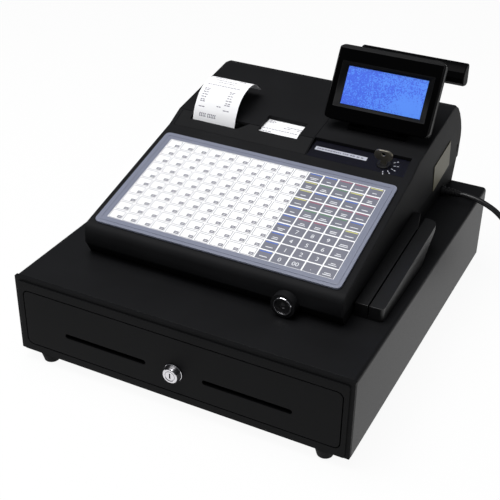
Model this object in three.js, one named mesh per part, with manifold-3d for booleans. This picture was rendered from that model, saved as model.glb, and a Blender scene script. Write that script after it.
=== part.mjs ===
// Cash register with a flat 150-place keyboard, standing on a cash drawer with a till tray.
// Lengths are in millimetres, X to the right, Y to the back, Z up.
import * as THREE from 'three';
import { mergeVertices } from 'three/addons/utils/BufferGeometryUtils.js';
import Module from 'manifold-3d';

const wasm = await Module();
wasm.setup();

// Clearances shared by pieces that meet
const seat = 0.3;
const running = 0.5;
const overrun = 5;
const arcSteps = 3;
const roundSteps = 24;

// Cash drawer case, measured from its left, front and bottom faces
const caseWidth = 406;
const caseDepth = 456;
const caseHeight = 98;
const caseSheet = 1.5;
const caseEdgeRadius = 4.5;
const bezel = { depth: 6, border: 5, lowBorder: 1.2, borderStep: 1.8, cornerRadius: 1, raisedRadius: 2 };
const footing = { height: 14, topRadius: 12, bottomRadius: 9, neckHeight: 2, inset: 31, frontInset: 14 };

// Drawer that slides out of the case
const front = { left: 11.3, bottom: 11.4, topRoom: 16.3, radius: 6.5, gap: 1.1, depth: 9 };
const slotCut = { length: 104, height: 6, spacing: 173.6, centreHeight: 37.7 };
const tray = { sideGap: 14.7, sheet: 1.2, bottom: 15.5, height: 46, ledge: 8, mouthMargin: 3 };
const rail = { plate: 1.5, width: 18.2, height: 16, wall: 1.8, lip: 2.5, lipDepth: 1.4, low: 33, start: 14, backRoom: 24 };
const runner = { head: 5, web: 5.4, start: 22, endGap: 7.3 };

// Till insert with coin cups and note bays, and the clips that hold the notes
const till = { gap: 1.6, front: 34, backRoom: 45.3, low: 31, height: 38, wall: 2.4, floor: 2.2, bays: 5, coinLength: 104 };
const cup = { sink: 3, scoopRadius: 58, cornerRadius: 8 };
const clip = {
  rodRadius: 2.5, barrelRadius: 5, boreGap: 0.4, armShare: 0.4955, width: 20, thickness: 1.8, drop: 17,
  rodHeight: 23, rodInset: 96, barrelWidth: 26, pad: 9,
};

// Drawer lock in the middle of the front
const lock = {
  flangeRadius: 11, faceRadius: 8.4, proud: 8, barrelRadius: 8, barrelLength: 26, plugRadius: 5.6,
  camLength: 22, camWidth: 9, camThickness: 2, keyway: 1.6,
};

// Latch at the back of the case
const latch = {
  width: 34, depth: 30, height: 34, side: 52, armLength: 26, armHeight: 5, armWidth: 8, pinRadius: 2,
  hookDrop: 7, backGap: 5, catchHeight: 5, reach: 14.8,
};

// Register, measured from the case's front face and top; it stands a little left of the case's middle
const left = 43;
const width = 318;
const sideShift = 1;
const shellWall = 2.8;
const edgeRound = 2.6;
const keyboardSlope = THREE.MathUtils.degToRad(14.2);
const roofSlope = THREE.MathUtils.degToRad(8.9);
const skirtFront = 76;
const skirtLow = 15;
const skirtRadius = 9;
const deckFront = 85;
const deckHeight = 40.4;
const creaseBack = 268;
const lipBack = 293;
const lipHeight = 98;
const roofRoom = 51.5;
const rearBulge = 469.5;
const rearHeight = 60;
const rearFootIn = 3;
const rearLow = 30;
const rearPull = 20;
const rearDrop = 22;
const seamRoom = 132.6;

// Bottom tray of the register
const pan = { inset: 1.5, frontFoot: 85, footRoom: 14.5, topInset: 1.5, wall: 2.4 };

// Flat keyboard
const pad = {
  sideRoom: 9, length: 170, thickness: 2.5, radius: 6, pocket: 0.9, sideBorder: 11.5, endBorder: 10.5,
  ridge: 4, ridgeHeight: 0.5,
};
const membrane = { margin: 6, thickness: 2.4 };
const keyPlate = { margin: 2, thickness: 1.6 };

// Printer: cover, front panel with the paper slot, paper, rolls and platens
const hinge = { backRoom: 31.5, height: 98, radius: 14, barrel: 4.6, pin: 2.2, gap: 0.5 };
const cover = { skirt: 12, wall: 3, ribs: 4, rib: 3 };
const lipPanel = { left: 50, wall: 2.5, gap: 0.4 };
const slit = { left: 66, right: 131, front: 281.6, taperRight: 149 };
const journalSight = { left: 157, right: 209, front: 286.5, back: 319, depth: 5, collar: 1.5 };
const paperThickness = 0.4;
const receipt = { inset: 3, curlLength: 74, curlHeight: 44.5 };
const receiptLeft = slit.left + receipt.inset;
const paperWidth = 58;
const frame = {
  left: 54, right: 224, front: 262, earReach: 8, floor: 31, wall: 2.5, frontTop: 74, tubRoom: 13,
  backTop: 84, divider: 140, legRadius: 5,
};
const receiptRoll = { radius: 30, back: 366, core: 6 };
const journalRoll = { radius: 28, back: 358, core: 6 };
const rollCradle = { lift: 1.5, rib: 3, reach: 26, height: 16, inset: 12 };
const spool = { flange: 18, core: 8, back: 402, height: 84, flangeWidth: 1.8, shaft: 3, journalLeft: 154 };
const platen = { radius: 6, shaft: 2.5, back: 298, height: 80, gearRadius: 8, gearWidth: 4, teeth: 16, tooth: 1.4 };
const headBlock = { depth: 7, height: 12, gap: 0.6 };

// Control panel with the mode lock
const panel = { seamGap: 1, sideRoom: 10.6, back: 297, thickness: 1, sink: 1.2, backing: 3 };
const mode = {
  sideRoom: 28.7, panelShare: 0.4758, radius: 8, proud: 1.6, depth: 14, plug: 5,
  bowWidth: 22, bowHeight: 14, bowThickness: 2.4, neck: 5, bladeWidth: 7,
};

// Operator display, tilted back on its neck
const screen = {
  sideRoom: 2.8, width: 127.6, height: 84.1, thickness: 17, front: 316.4, low: 118,
  frontPart: 9, rimSide: 2, rimTop: 4.8, rimLow: 1, rimRadius: 8, chamfer: 3,
  tilt: THREE.MathUtils.degToRad(29.1),
  sideFrame: 6.4, recessHeight: 54.5, recessLow: 14.6,
  glassSide: 7.6, glassEnd: 4.25, glassSink: 4.5, glassThickness: 1.6,
  wall: 2, taper: 5, axisUp: 14, axisDeep: 15.5,
};
const neck = { width: 73, depth: 24, ear: 14, barrel: 6, pin: 2.2, plinth: 5 };

// Customer display on its post
const customer = {
  sideRoom: 69, backRoom: 19.5, postRadius: 10, postLow: 30, postHigh: 132.7, spigot: 6, spigotLength: 8,
  width: 140, height: 28, depth: 22, corner: 4.5, glassSide: 11, glassEnd: 5.5, glassThickness: 1.5, glassSink: 0.8,
  guideWall: 2.5, guideLength: 40,
};

// Card reader along the right side
const reader = {
  gap: 0.4, innerWidth: 14.5, slot: 1.5, outerWidth: 16.1, front: 107, back: 290, frontTop: 16.6,
  backTop: 34.6, footBack: 233, slotFloor: 3.4, flare: 6.5, flareLength: 28, frontRadius: 5, backRadius: 12,
};

// Key reader in its boss on the front skirt
const keyReader = {
  sideRoom: 64, height: 15.2, boss: 14, reach: 10, ring: 10.5, ringWidth: 1.6, proud: 1,
  coreGap: 0.2, coreSink: 1.2, depth: 6,
};

// Plain plate on the right side, and the screw well behind it
const plate = { length: 62, height: 36, thickness: 0.6, backRoom: 80.5, centreHeight: 50.5 };
const well = { backRoom: 13.5, height: 47, width: 4, length: 11 };

// Circuit board in the bottom tray
const board = {
  inset: 47, front: 110, width: 200, length: 140, thickness: 1.6, lift: 7, chip: 26, chipHeight: 4, legRadius: 3,
};

// Mains lead
const cord = { diameter: 7, exitRoom: 59.5, exitHeight: 6.6, sides: 8, step: 17 };
const relief = { length: 24, wide: 5.6, narrow: 4.4, collar: 6.2, collarLength: 2, inside: 3, ribs: 5, groove: 0.9 };
const coil = {
  centreX: 519, centreY: 426, inner: 29.5, turnsPerLayer: 3, pitch: 7.6, layerRise: 7.6, lift: 1.1,
  stepsPerTurn: 24, sides: 6, tail: 44,
};
const tie = { width: 8, thickness: 0.8, gap: 0.5 };
const plug = {
  width: 26, height: 23.4, length: 38, bladeLength: 16, bladeWidth: 6.4, bladeThickness: 1.6, spread: 12.7,
  pinRadius: 2.4, pinLift: 6, radius: 5,
};

// Places that follow from the sizes above
const right = left + width;
const frontWidth = caseWidth - 2 * front.left;
const frontHeight = caseHeight - front.bottom - front.topRoom;
const seamSide = right - seamRoom;
const roofBack = rearBulge - roofRoom;
const rearFoot = rearBulge - rearFootIn;
const panBack = rearBulge - pan.footRoom;
const hingeBack = rearBulge - hinge.backRoom;
const frameBack = hingeBack + frame.earReach;
const tubBack = hingeBack - frame.tubRoom;
const postBack = rearBulge - customer.backRoom;
const postAcross = right - customer.sideRoom;
const headLow = customer.postHigh + seat;
const cordBack = rearBulge - cord.exitRoom;
const bossAcross = right - keyReader.sideRoom;
const bossFront = skirtFront - keyReader.reach;
const padWidth = width - 2 * pad.sideRoom;
const modeAcross = right - panel.sideRoom - mode.sideRoom;

// Colours read from the object
const colours = {
  case: '#2b2c2e', plastic: '#3a3b3d', dark: '#222325', steel: '#8d9094', chrome: '#d8dadc', rubber: '#1b1b1c',
  keypad: '#b4bacb', keySheet: '#e9ebf1', paper: '#f4f4f2', panel: '#20222f', lcd: '#4a6fe0', brass: '#a08a5c',
  insert: '#2f3032', label: '#a7a48f', board: '#2e5a3c', glass: '#26304a',
};

// Solids from closed three.js geometry, and geometry from solids

function toSolid(geometry) {
  const plain = geometry.clone();
  plain.deleteAttribute('normal');
  plain.deleteAttribute('uv');
  const merged = mergeVertices(plain, 1e-4);
  return new wasm.Manifold(new wasm.Mesh({
    numProp: 3,
    vertProperties: new Float32Array(merged.attributes.position.array),
    triVerts: new Uint32Array(merged.index.array),
  }));
}

function toGeometry(solid) {
  const mesh = solid.getMesh();
  const geometry = new THREE.BufferGeometry();
  geometry.setAttribute('position', new THREE.BufferAttribute(new Float32Array(mesh.vertProperties), 3));
  geometry.setIndex(new THREE.BufferAttribute(new Uint32Array(mesh.triVerts), 1));
  geometry.computeVertexNormals();
  return geometry;
}

function join(solids) {
  return solids.reduce((whole, solid) => whole.add(solid));
}

function cut(solid, ...cutters) {
  return cutters.reduce((whole, cutter) => whole.subtract(cutter), solid);
}

function piece(name, solid, colour, roughness = 0.7, metalness = 0) {
  const material = new THREE.MeshStandardMaterial({ color: colour, roughness, metalness });
  const mesh = new THREE.Mesh(toGeometry(solid), material);
  mesh.name = name;
  return mesh;
}

// Forms along the three axes

function box(x0, x1, y0, y1, z0, z1) {
  const geometry = new THREE.BoxGeometry(x1 - x0, y1 - y0, z1 - z0);
  geometry.translate((x0 + x1) / 2, (y0 + y1) / 2, (z0 + z1) / 2);
  return toSolid(geometry);
}

function outline(points) {
  return new THREE.Shape(points.map(([a, b]) => new THREE.Vector2(a, b)));
}

function roundedOutline(x0, x1, y0, y1, radius) {
  const shape = new THREE.Shape();
  const quarter = Math.PI / 2;
  shape.absarc(x1 - radius, y0 + radius, radius, -quarter, 0);
  shape.absarc(x1 - radius, y1 - radius, radius, 0, quarter);
  shape.absarc(x0 + radius, y1 - radius, radius, quarter, Math.PI);
  shape.absarc(x0 + radius, y0 + radius, radius, Math.PI, Math.PI + quarter);
  shape.closePath();
  return shape;
}

const alongX = new THREE.Matrix4().makeBasis(
  new THREE.Vector3(0, 1, 0), new THREE.Vector3(0, 0, 1), new THREE.Vector3(1, 0, 0));
const alongY = new THREE.Matrix4().makeBasis(
  new THREE.Vector3(1, 0, 0), new THREE.Vector3(0, 0, 1), new THREE.Vector3(0, -1, 0));

function prismGeometry(shape, depth, rounding) {
  const settings = { depth, curveSegments: arcSteps, bevelEnabled: false };
  if (rounding) {
    settings.bevelEnabled = true;
    settings.bevelSize = rounding;
    settings.bevelOffset = -rounding;
    settings.bevelThickness = rounding;
    settings.bevelSegments = 2;
    settings.depth = depth - 2 * rounding;
  }
  const geometry = new THREE.ExtrudeGeometry(shape, settings);
  if (rounding) geometry.translate(0, 0, rounding);
  return geometry;
}

// A profile in Y and Z carried along X
function prismX(shape, x0, x1, rounding = 0) {
  const geometry = prismGeometry(shape, x1 - x0, rounding);
  geometry.applyMatrix4(alongX);
  geometry.translate(x0, 0, 0);
  return toSolid(geometry);
}

// A profile in X and Z carried along Y
function prismY(shape, y0, y1, rounding = 0) {
  const geometry = prismGeometry(shape, y1 - y0, rounding);
  geometry.applyMatrix4(alongY);
  geometry.translate(0, y1, 0);
  return toSolid(geometry);
}

// A profile in X and Y carried along Z
function prismZ(shape, z0, z1, rounding = 0) {
  const geometry = prismGeometry(shape, z1 - z0, rounding);
  geometry.translate(0, 0, z0);
  return toSolid(geometry);
}

function cylinderX(x0, x1, y, z, radius, steps = roundSteps) {
  const geometry = new THREE.CylinderGeometry(radius, radius, x1 - x0, steps);
  geometry.rotateZ(-Math.PI / 2);
  geometry.translate((x0 + x1) / 2, y, z);
  return toSolid(geometry);
}

function cylinderY(y0, y1, x, z, radius, steps = roundSteps) {
  const geometry = new THREE.CylinderGeometry(radius, radius, y1 - y0, steps);
  geometry.translate(x, (y0 + y1) / 2, z);
  return toSolid(geometry);
}

function cylinderZ(z0, z1, x, y, radius, steps = roundSteps) {
  const geometry = new THREE.CylinderGeometry(radius, radius, z1 - z0, steps);
  geometry.rotateX(Math.PI / 2);
  geometry.translate(x, y, (z0 + z1) / 2);
  return toSolid(geometry);
}

// A turned form: pairs of radius and height, on the axis at both ends
function turned(pairs, steps = roundSteps) {
  const geometry = new THREE.LatheGeometry(pairs.map(([r, h]) => new THREE.Vector2(r, h)), steps);
  geometry.rotateX(Math.PI / 2);
  return geometry;
}

// Moves every side of a closed outline inwards by one distance
function insetOutline(points, distance) {
  const count = points.length;
  return points.map((point, i) => {
    const before = points[(i + count - 1) % count];
    const after = points[(i + 1) % count];
    const inward = [[before, point], [point, after]].map(([a, b]) => {
      const along = new THREE.Vector2(b[0] - a[0], b[1] - a[1]).normalize();
      return new THREE.Vector2(along.y, -along.x);
    });
    const bend = inward[0].clone().add(inward[1]);
    const reach = distance / (bend.lengthSq() / 2);
    return [point[0] + bend.x * reach, point[1] + bend.y * reach];
  });
}

// Case of the drawer

function caseOutline(inset) {
  const radius = caseEdgeRadius - inset;
  const shape = new THREE.Shape();
  const quarter = Math.PI / 2;
  const top = caseHeight - inset;
  const low = inset ? -overrun : 0;
  shape.moveTo(inset, low);
  shape.lineTo(caseWidth - inset, low);
  shape.absarc(caseWidth - inset - radius, top - radius, radius, 0, quarter);
  shape.absarc(inset + radius, top - radius, radius, quarter, Math.PI);
  shape.closePath();
  return shape;
}

const caseStart = bezel.depth + seat;

function makeCase() {
  const outer = prismY(caseOutline(0), caseStart, caseDepth);
  const inner = prismY(caseOutline(caseSheet), caseStart - overrun, caseDepth - caseSheet);
  return piece('drawer_case', cut(outer, inner), colours.case, 0.6, 0.2);
}

function makeCaseBottom() {
  const inset = caseSheet + seat;
  const sheet = box(inset, caseWidth - inset, caseStart, caseDepth - inset, 0, caseSheet);
  const lipTop = front.bottom - 2 * front.gap;
  const lip = box(inset, caseWidth - inset, caseStart, caseStart + caseSheet, 0, lipTop);
  return piece('drawer_bottom', join([sheet, lip]), colours.case, 0.6, 0.2);
}

function makeBezel() {
  const { border, lowBorder, borderStep, cornerRadius, raisedRadius, depth } = bezel;
  const back = prismY(roundedOutline(0, caseWidth, 0, caseHeight, cornerRadius), borderStep, depth);
  const raised = roundedOutline(border, caseWidth - border, lowBorder, caseHeight - border, raisedRadius);
  const face = prismY(raised, 0, borderStep + seat);
  const opening = prismY(roundedOutline(front.left - front.gap, front.left + frontWidth + front.gap,
    front.bottom - front.gap, front.bottom + frontHeight + front.gap, front.radius + front.gap),
    -overrun, depth + overrun);
  return piece('front_bezel', cut(join([back, face]), opening), colours.case, 0.65);
}

function makeFoot(name, x, y) {
  const { height, topRadius, bottomRadius, neckHeight } = footing;
  const top = height - seat;
  const geometry = turned([[0, 0], [bottomRadius, 0], [topRadius, top - neckHeight], [topRadius, top], [0, top]]);
  const foot = piece(name, toSolid(geometry), colours.rubber, 0.9);
  foot.position.set(x, y, -height);
  return foot;
}

function railOutline(side) {
  const { plate: sheet, width: reach, height, wall, lip, lipDepth, low } = rail;
  const near = caseSheet + seat;
  const far = near + reach;
  const high = low + height;
  const back = far - runner.head - 2 * running - wall - lipDepth;
  const half = [
    [near, low - wall], [near + sheet, low - wall], [near + sheet, low], [far, low], [far, low + wall + lip],
    [far - lipDepth, low + wall + lip], [far - lipDepth, low + wall], [back + wall, low + wall],
    [back + wall, high - wall], [far - lipDepth, high - wall], [far - lipDepth, high - wall - lip],
    [far, high - wall - lip], [far, high], [near + sheet, high], [near + sheet, high + wall], [near, high + wall],
  ];
  const points = half.map(([x, z]) => [side < 0 ? x : caseWidth - x, z]);
  return outline(side < 0 ? points : points.reverse());
}

const railBack = caseDepth - rail.backRoom;

function railHollow(side) {
  const { plate: sheet, width: reach, height, wall, lipDepth, low } = rail;
  const near = caseSheet + seat + sheet;
  const back = caseSheet + seat + reach - runner.head - 2 * running - wall - lipDepth;
  const x0 = side < 0 ? near : caseWidth - back;
  const x1 = side < 0 ? back : caseWidth - near;
  return box(x0, x1, rail.start + 2 * wall, railBack + overrun, low + wall, low + height - wall);
}

function makeRail(name, side) {
  const body = prismY(railOutline(side), rail.start, railBack);
  return piece(name, cut(body, railHollow(side)), colours.steel, 0.4, 0.9);
}

// Drawer

function makeDrawerFront() {
  const { left: x0, bottom: z0, radius, depth } = front;
  let panelSolid = prismY(roundedOutline(x0, x0 + frontWidth, z0, z0 + frontHeight, radius), 0, depth);
  const centre = caseWidth / 2;
  for (const side of [-1, 1]) {
    const middle = centre + side * slotCut.spacing / 2;
    const mouth = roundedOutline(middle - slotCut.length / 2, middle + slotCut.length / 2,
      slotCut.centreHeight - slotCut.height / 2, slotCut.centreHeight + slotCut.height / 2, slotCut.height / 2.1);
    panelSolid = panelSolid.subtract(prismY(mouth, -overrun, depth + overrun));
  }
  const bore = cylinderY(-overrun, depth + overrun, centre, slotCut.centreHeight, lock.barrelRadius + seat);
  return piece('drawer_front', cut(panelSolid, bore), colours.case, 0.65);
}

const trayLeft = front.left + tray.sideGap;
const trayRight = caseWidth - trayLeft;
const trayStart = front.depth + seat;
const latchBack = caseDepth - caseSheet - latch.backGap;
const latchPivotY = latchBack - latch.depth / 2;
const latchPivotZ = tray.bottom + tray.height + latch.hookDrop;
const trayBack = latchPivotY - latch.reach - 2 * tray.sheet;

function makeTray() {
  const { sheet, bottom, height, ledge, mouthMargin } = tray;
  const outer = box(trayLeft, trayRight, trayStart, trayBack, bottom, bottom + height);
  const inner = box(trayLeft + sheet, trayRight - sheet, trayStart + sheet, trayBack - sheet,
    bottom + sheet, bottom + height + overrun);
  const shelfTop = till.low - seat;
  const shelf = (x0, x1) => box(x0, x1, till.front, trayBack - sheet / 2, shelfTop - sheet, shelfTop);
  const shelves = [
    shelf(trayLeft + sheet / 2, trayLeft + sheet + ledge),
    shelf(trayRight - sheet - ledge, trayRight - sheet / 2),
  ];
  const bore = cylinderY(0, trayStart + overrun, caseWidth / 2, slotCut.centreHeight, lock.barrelRadius + seat);
  const mouthFloor = slotCut.centreHeight - slotCut.height / 2 - mouthMargin;
  const halfMouth = slotCut.length / 2 + mouthMargin;
  const mouths = [-1, 1].map((side) => {
    const middle = caseWidth / 2 + side * slotCut.spacing / 2;
    return box(middle - halfMouth, middle + halfMouth, 0, trayStart + overrun, mouthFloor, bottom + height + overrun);
  });
  const shell = cut(outer, inner, bore, ...mouths);
  const catchTop = bottom + height;
  const side = caseWidth / 2 + latch.side;
  const tab = box(side - latch.armWidth, side + latch.armWidth, trayBack - sheet / 2, trayBack + sheet,
    catchTop - latch.catchHeight, catchTop);
  return piece('drawer_tray', join([shell, ...shelves, tab]), colours.steel, 0.45, 0.8);
}

function makeRunner(name, side) {
  const { head, web, start, endGap } = runner;
  const far = caseSheet + seat + rail.width - rail.lipDepth - running;
  const middle = rail.low + rail.height / 2;
  const half = rail.height / 2 - rail.wall - running;
  const neckHalf = web / 2;
  const end = trayLeft - seat;
  const points = [
    [far - head, middle - half], [far, middle - half], [far, middle - neckHalf], [end, middle - neckHalf],
    [end, middle + neckHalf], [far, middle + neckHalf], [far, middle + half], [far - head, middle + half],
  ].map(([x, z]) => [side < 0 ? x : caseWidth - x, z]);
  const shape = outline(side < 0 ? points : points.reverse());
  return piece(name, prismY(shape, start, trayBack - endGap), colours.steel, 0.35, 0.9);
}

// Till insert

const insertLeft = trayLeft + tray.sheet + till.gap;
const insertRight = trayRight - tray.sheet - till.gap;
const insertBack = trayBack - till.backRoom;
const insertTop = till.low + till.height;
const bayWidth = (insertRight - insertLeft - till.wall * (till.bays + 1)) / till.bays;
const coinBack = till.front + till.wall + till.coinLength;
const rodY = insertBack - clip.rodInset;
const rodZ = till.low + clip.rodHeight;

function bayLeft(index) {
  return insertLeft + till.wall + index * (bayWidth + till.wall);
}

// A coin cup has a round floor, so that a finger draws the coins up its front
function coinCup(index) {
  const x0 = bayLeft(index);
  const middle = (till.front + till.wall + coinBack) / 2;
  const floor = till.low + till.floor + cup.sink;
  const trough = cylinderX(x0, x0 + bayWidth, middle, floor + cup.scoopRadius, cup.scoopRadius, 2 * roundSteps);
  const mouth = roundedOutline(x0, x0 + bayWidth, till.front + till.wall, coinBack, cup.cornerRadius);
  const shaft = prismZ(mouth, floor, insertTop + overrun);
  return trough.intersect(shaft);
}

function noteBay(index) {
  const x0 = bayLeft(index);
  const mouth = roundedOutline(x0, x0 + bayWidth, coinBack + till.wall, insertBack - till.wall, cup.sink);
  return prismZ(mouth, till.low + till.floor, insertTop + overrun);
}

function makeTill() {
  const block = prismZ(roundedOutline(insertLeft, insertRight, till.front, insertBack, cup.sink), till.low, insertTop);
  const cutters = [];
  for (let index = 0; index < till.bays; index += 1) {
    cutters.push(coinCup(index), noteBay(index));
  }
  const rodHole = cylinderX(insertLeft - overrun, insertRight - till.wall / 2, rodY, rodZ,
    clip.rodRadius + seat, roundSteps / 2);
  return piece('till_insert', cut(block, ...cutters, rodHole), colours.insert, 0.75);
}

function makeClipRod() {
  const rod = cylinderX(insertLeft, insertRight - till.wall / 2 - seat, rodY, rodZ, clip.rodRadius, roundSteps / 2);
  return piece('clip_rod', rod, colours.steel, 0.35, 0.9);
}

// A clip hangs on the rod, and its arm leans down onto the notes
function makeClip(index) {
  const middle = bayLeft(index) + bayWidth / 2;
  const { barrelRadius, rodRadius, boreGap, width: w, thickness, drop, barrelWidth, pad: padLength } = clip;
  const arm = clip.armShare * (rodY - coinBack - till.wall);
  const barrel = cylinderX(-barrelWidth / 2, barrelWidth / 2, 0, 0, barrelRadius, roundSteps / 2);
  const bore = cylinderX(-barrelWidth, barrelWidth, 0, 0, rodRadius + boreGap, roundSteps / 2);
  const side = outline([
    [0, barrelRadius], [0, barrelRadius - thickness], [padLength - arm, -drop], [-arm, -drop],
    [-arm - thickness, -drop + 2 * thickness], [-arm, -drop + thickness], [padLength - arm, -drop + thickness],
  ]);
  const blade = prismX(side, -w / 2, w / 2);
  const solid = cut(join([barrel, blade]), bore);
  const mesh = piece(`bill_clip_${index + 1}`, solid, colours.dark, 0.6);
  mesh.position.set(middle, rodY, rodZ);
  return mesh;
}

// Drawer lock

function makeLockBarrel() {
  const { flangeRadius, faceRadius, proud, barrelRadius, barrelLength, plugRadius } = lock;
  const body = toSolid(turned([
    [0, -barrelLength], [barrelRadius, -barrelLength], [barrelRadius, seat], [flangeRadius, seat],
    [flangeRadius, seat * 4], [faceRadius, proud], [0, proud],
  ]));
  const bore = cylinderZ(-barrelLength - overrun, proud + overrun, 0, 0, plugRadius + seat);
  const mesh = piece('drawer_lock_barrel', cut(body, bore), colours.chrome, 0.2, 1);
  mesh.rotation.x = Math.PI / 2;
  mesh.position.set(caseWidth / 2, 0, slotCut.centreHeight);
  return mesh;
}

function makeLockPlug() {
  const { proud, barrelLength, plugRadius, camLength, camWidth, camThickness, keyway } = lock;
  const face = proud - seat;
  const end = barrelLength + seat + camThickness;
  const stem = cylinderZ(-end, face, 0, 0, plugRadius);
  const slot = box(-keyway / 2, keyway / 2, -plugRadius * 0.6, plugRadius * 0.6, face - proud, face + overrun);
  const cam = prismZ(roundedOutline(-camWidth / 2, camWidth / 2, -camWidth / 2, camLength, camWidth / 2.2),
    -end, -end + camThickness);
  const mesh = piece('drawer_lock_plug', join([cut(stem, slot), cam]), colours.chrome, 0.25, 1);
  mesh.rotation.x = Math.PI / 2;
  mesh.position.set(caseWidth / 2, 0, slotCut.centreHeight);
  return mesh;
}

// Latch: a solenoid on the bottom, and the hook that holds the drawer shut

function makeSolenoid() {
  const side = caseWidth / 2 + latch.side;
  const { width: w, depth, height, armWidth, pinRadius } = latch;
  const low = caseSheet + seat;
  const body = box(side - w / 2, side + w / 2, latchBack - depth, latchBack, low, low + height);
  const cheekGap = armWidth / 2 + running;
  const cheeks = [-1, 1].map((s) => {
    const near = side + s * cheekGap;
    const far = near + s * 2 * pinRadius;
    return box(Math.min(near, far), Math.max(near, far), latchPivotY - 2 * pinRadius, latchPivotY + 2 * pinRadius,
      low + height - seat, latchPivotZ + 2 * pinRadius);
  });
  const pin = cylinderX(side - cheekGap - pinRadius, side + cheekGap + pinRadius, latchPivotY, latchPivotZ,
    pinRadius, roundSteps / 2);
  return piece('latch_solenoid', join([body, ...cheeks, pin]), colours.steel, 0.4, 0.8);
}

function makeHook() {
  const { armLength, armHeight, armWidth, hookDrop, pinRadius } = latch;
  const side = caseWidth / 2 + latch.side;
  const tip = -latch.reach;
  const catchLow = tray.bottom + tray.height - latchPivotZ;
  const shape = outline([
    [armLength / 2, -armHeight / 2], [armLength / 2, armHeight / 2], [tip - armHeight, armHeight / 2],
    [tip - armHeight, catchLow + seat * 2], [tip - seat, catchLow + seat * 2], [tip, -armHeight / 2],
  ].reverse());
  const arm = prismX(shape, -armWidth / 2, armWidth / 2);
  const eye = cylinderX(-armWidth / 2, armWidth / 2, 0, 0, 2 * pinRadius, roundSteps / 2);
  const bore = cylinderX(-armWidth, armWidth, 0, 0, pinRadius + seat, roundSteps / 2);
  const mesh = piece('latch_hook', cut(join([arm, eye]), bore), colours.steel, 0.4, 0.9);
  mesh.position.set(side, latchPivotY, latchPivotZ);
  return mesh;
}

// Register shell, as a side profile carried across its width

const deckTan = Math.tan(keyboardSlope);
const deckAt = (y) => deckHeight + (y - deckFront) * deckTan;
const roofAt = (y) => lipHeight + (y - lipBack) * Math.tan(roofSlope);

function registerProfile() {
  const corner = new THREE.Vector2(skirtFront, deckAt(skirtFront));
  const path = new THREE.Path();
  const up = skirtRadius * 0.9;
  path.moveTo(skirtFront, skirtLow);
  path.lineTo(skirtFront, corner.y - up);
  path.quadraticCurveTo(corner.x, corner.y, corner.x + skirtRadius, deckAt(corner.x + skirtRadius));
  path.lineTo(creaseBack, deckAt(creaseBack));
  path.lineTo(lipBack, lipHeight);
  path.lineTo(roofBack, roofAt(roofBack));
  path.bezierCurveTo(roofBack + rearPull, roofAt(roofBack + rearPull), rearBulge, rearHeight + rearDrop,
    rearBulge, rearHeight);
  path.lineTo(rearFoot, rearLow);
  return path.getPoints(2 * arcSteps).map((point) => [point.x, point.y]);
}

const profilePoints = registerProfile();

// The same profile moved inwards, with its open bottom carried down past the seam
function innerProfile(inset) {
  const points = insetOutline(profilePoints, inset);
  const last = points.length - 1;
  points[0] = [points[0][0], points[0][1] - skirtLow];
  points[last] = [points[last][0], points[last][1] - rearLow];
  return points;
}

function innerSolid(inset, x0, x1) {
  return prismX(outline(innerProfile(inset).reverse()), x0, x1);
}

// Deep inside the part behind the crease, where a deep inset can't fold over itself
function deepSolid(inset, x0, x1) {
  const behind = profilePoints.filter(([y]) => y >= creaseBack);
  return prismX(outline(insetOutline([[creaseBack, skirtLow], ...behind], inset).reverse()), x0, x1);
}

function outerSolid() {
  return prismX(outline([...profilePoints].reverse()), left, right, edgeRound);
}

// The band that the printer cover takes from the shell
function coverRegion(gap) {
  const start = lipBack + seat - gap;
  const high = roofAt(roofBack) + overrun;
  const slab = box(left - overrun, seamSide + gap - seat, start, hingeBack, lipHeight - 2 * cover.skirt, high);
  const eye = cylinderX(left - overrun, seamSide + gap - seat, hingeBack, hinge.height, hinge.radius + gap,
    2 * roundSteps);
  return join([slab, eye]);
}

function sightCutter(grow, low) {
  const { left: x0, right: x1, front: y0, back: y1 } = journalSight;
  return box(x0 - grow, x1 + grow, y0 - grow, y1 + grow, low, lipHeight + 2 * journalSight.depth);
}

const keyboardAt = new THREE.Vector3(left + pad.sideRoom, deckFront, deckAt(deckFront));

// Turns a solid made on the keyboard's own plane into the register's frame
function fromDeck(solid) {
  const geometry = toGeometry(solid);
  geometry.rotateX(keyboardSlope);
  geometry.translate(keyboardAt.x, keyboardAt.y, keyboardAt.z);
  return toSolid(geometry);
}

const deckAlong = (y) => (y - deckFront) / Math.cos(keyboardSlope);
const panelLeft = seamSide + panel.seamGap - keyboardAt.x;
const panelRight = right - panel.sideRoom - keyboardAt.x;
const panelFront = deckAlong(creaseBack);
const panelBack = deckAlong(panel.back);
const modeAlong = panelFront + mode.panelShare * (panelBack - panelFront);

const axisY = screen.front + screen.axisUp * Math.sin(screen.tilt) + screen.axisDeep * Math.cos(screen.tilt);
const axisZ = screen.low + screen.axisUp * Math.cos(screen.tilt) - screen.axisDeep * Math.sin(screen.tilt);
const screenCentre = right - screen.sideRoom - screen.width / 2;

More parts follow.
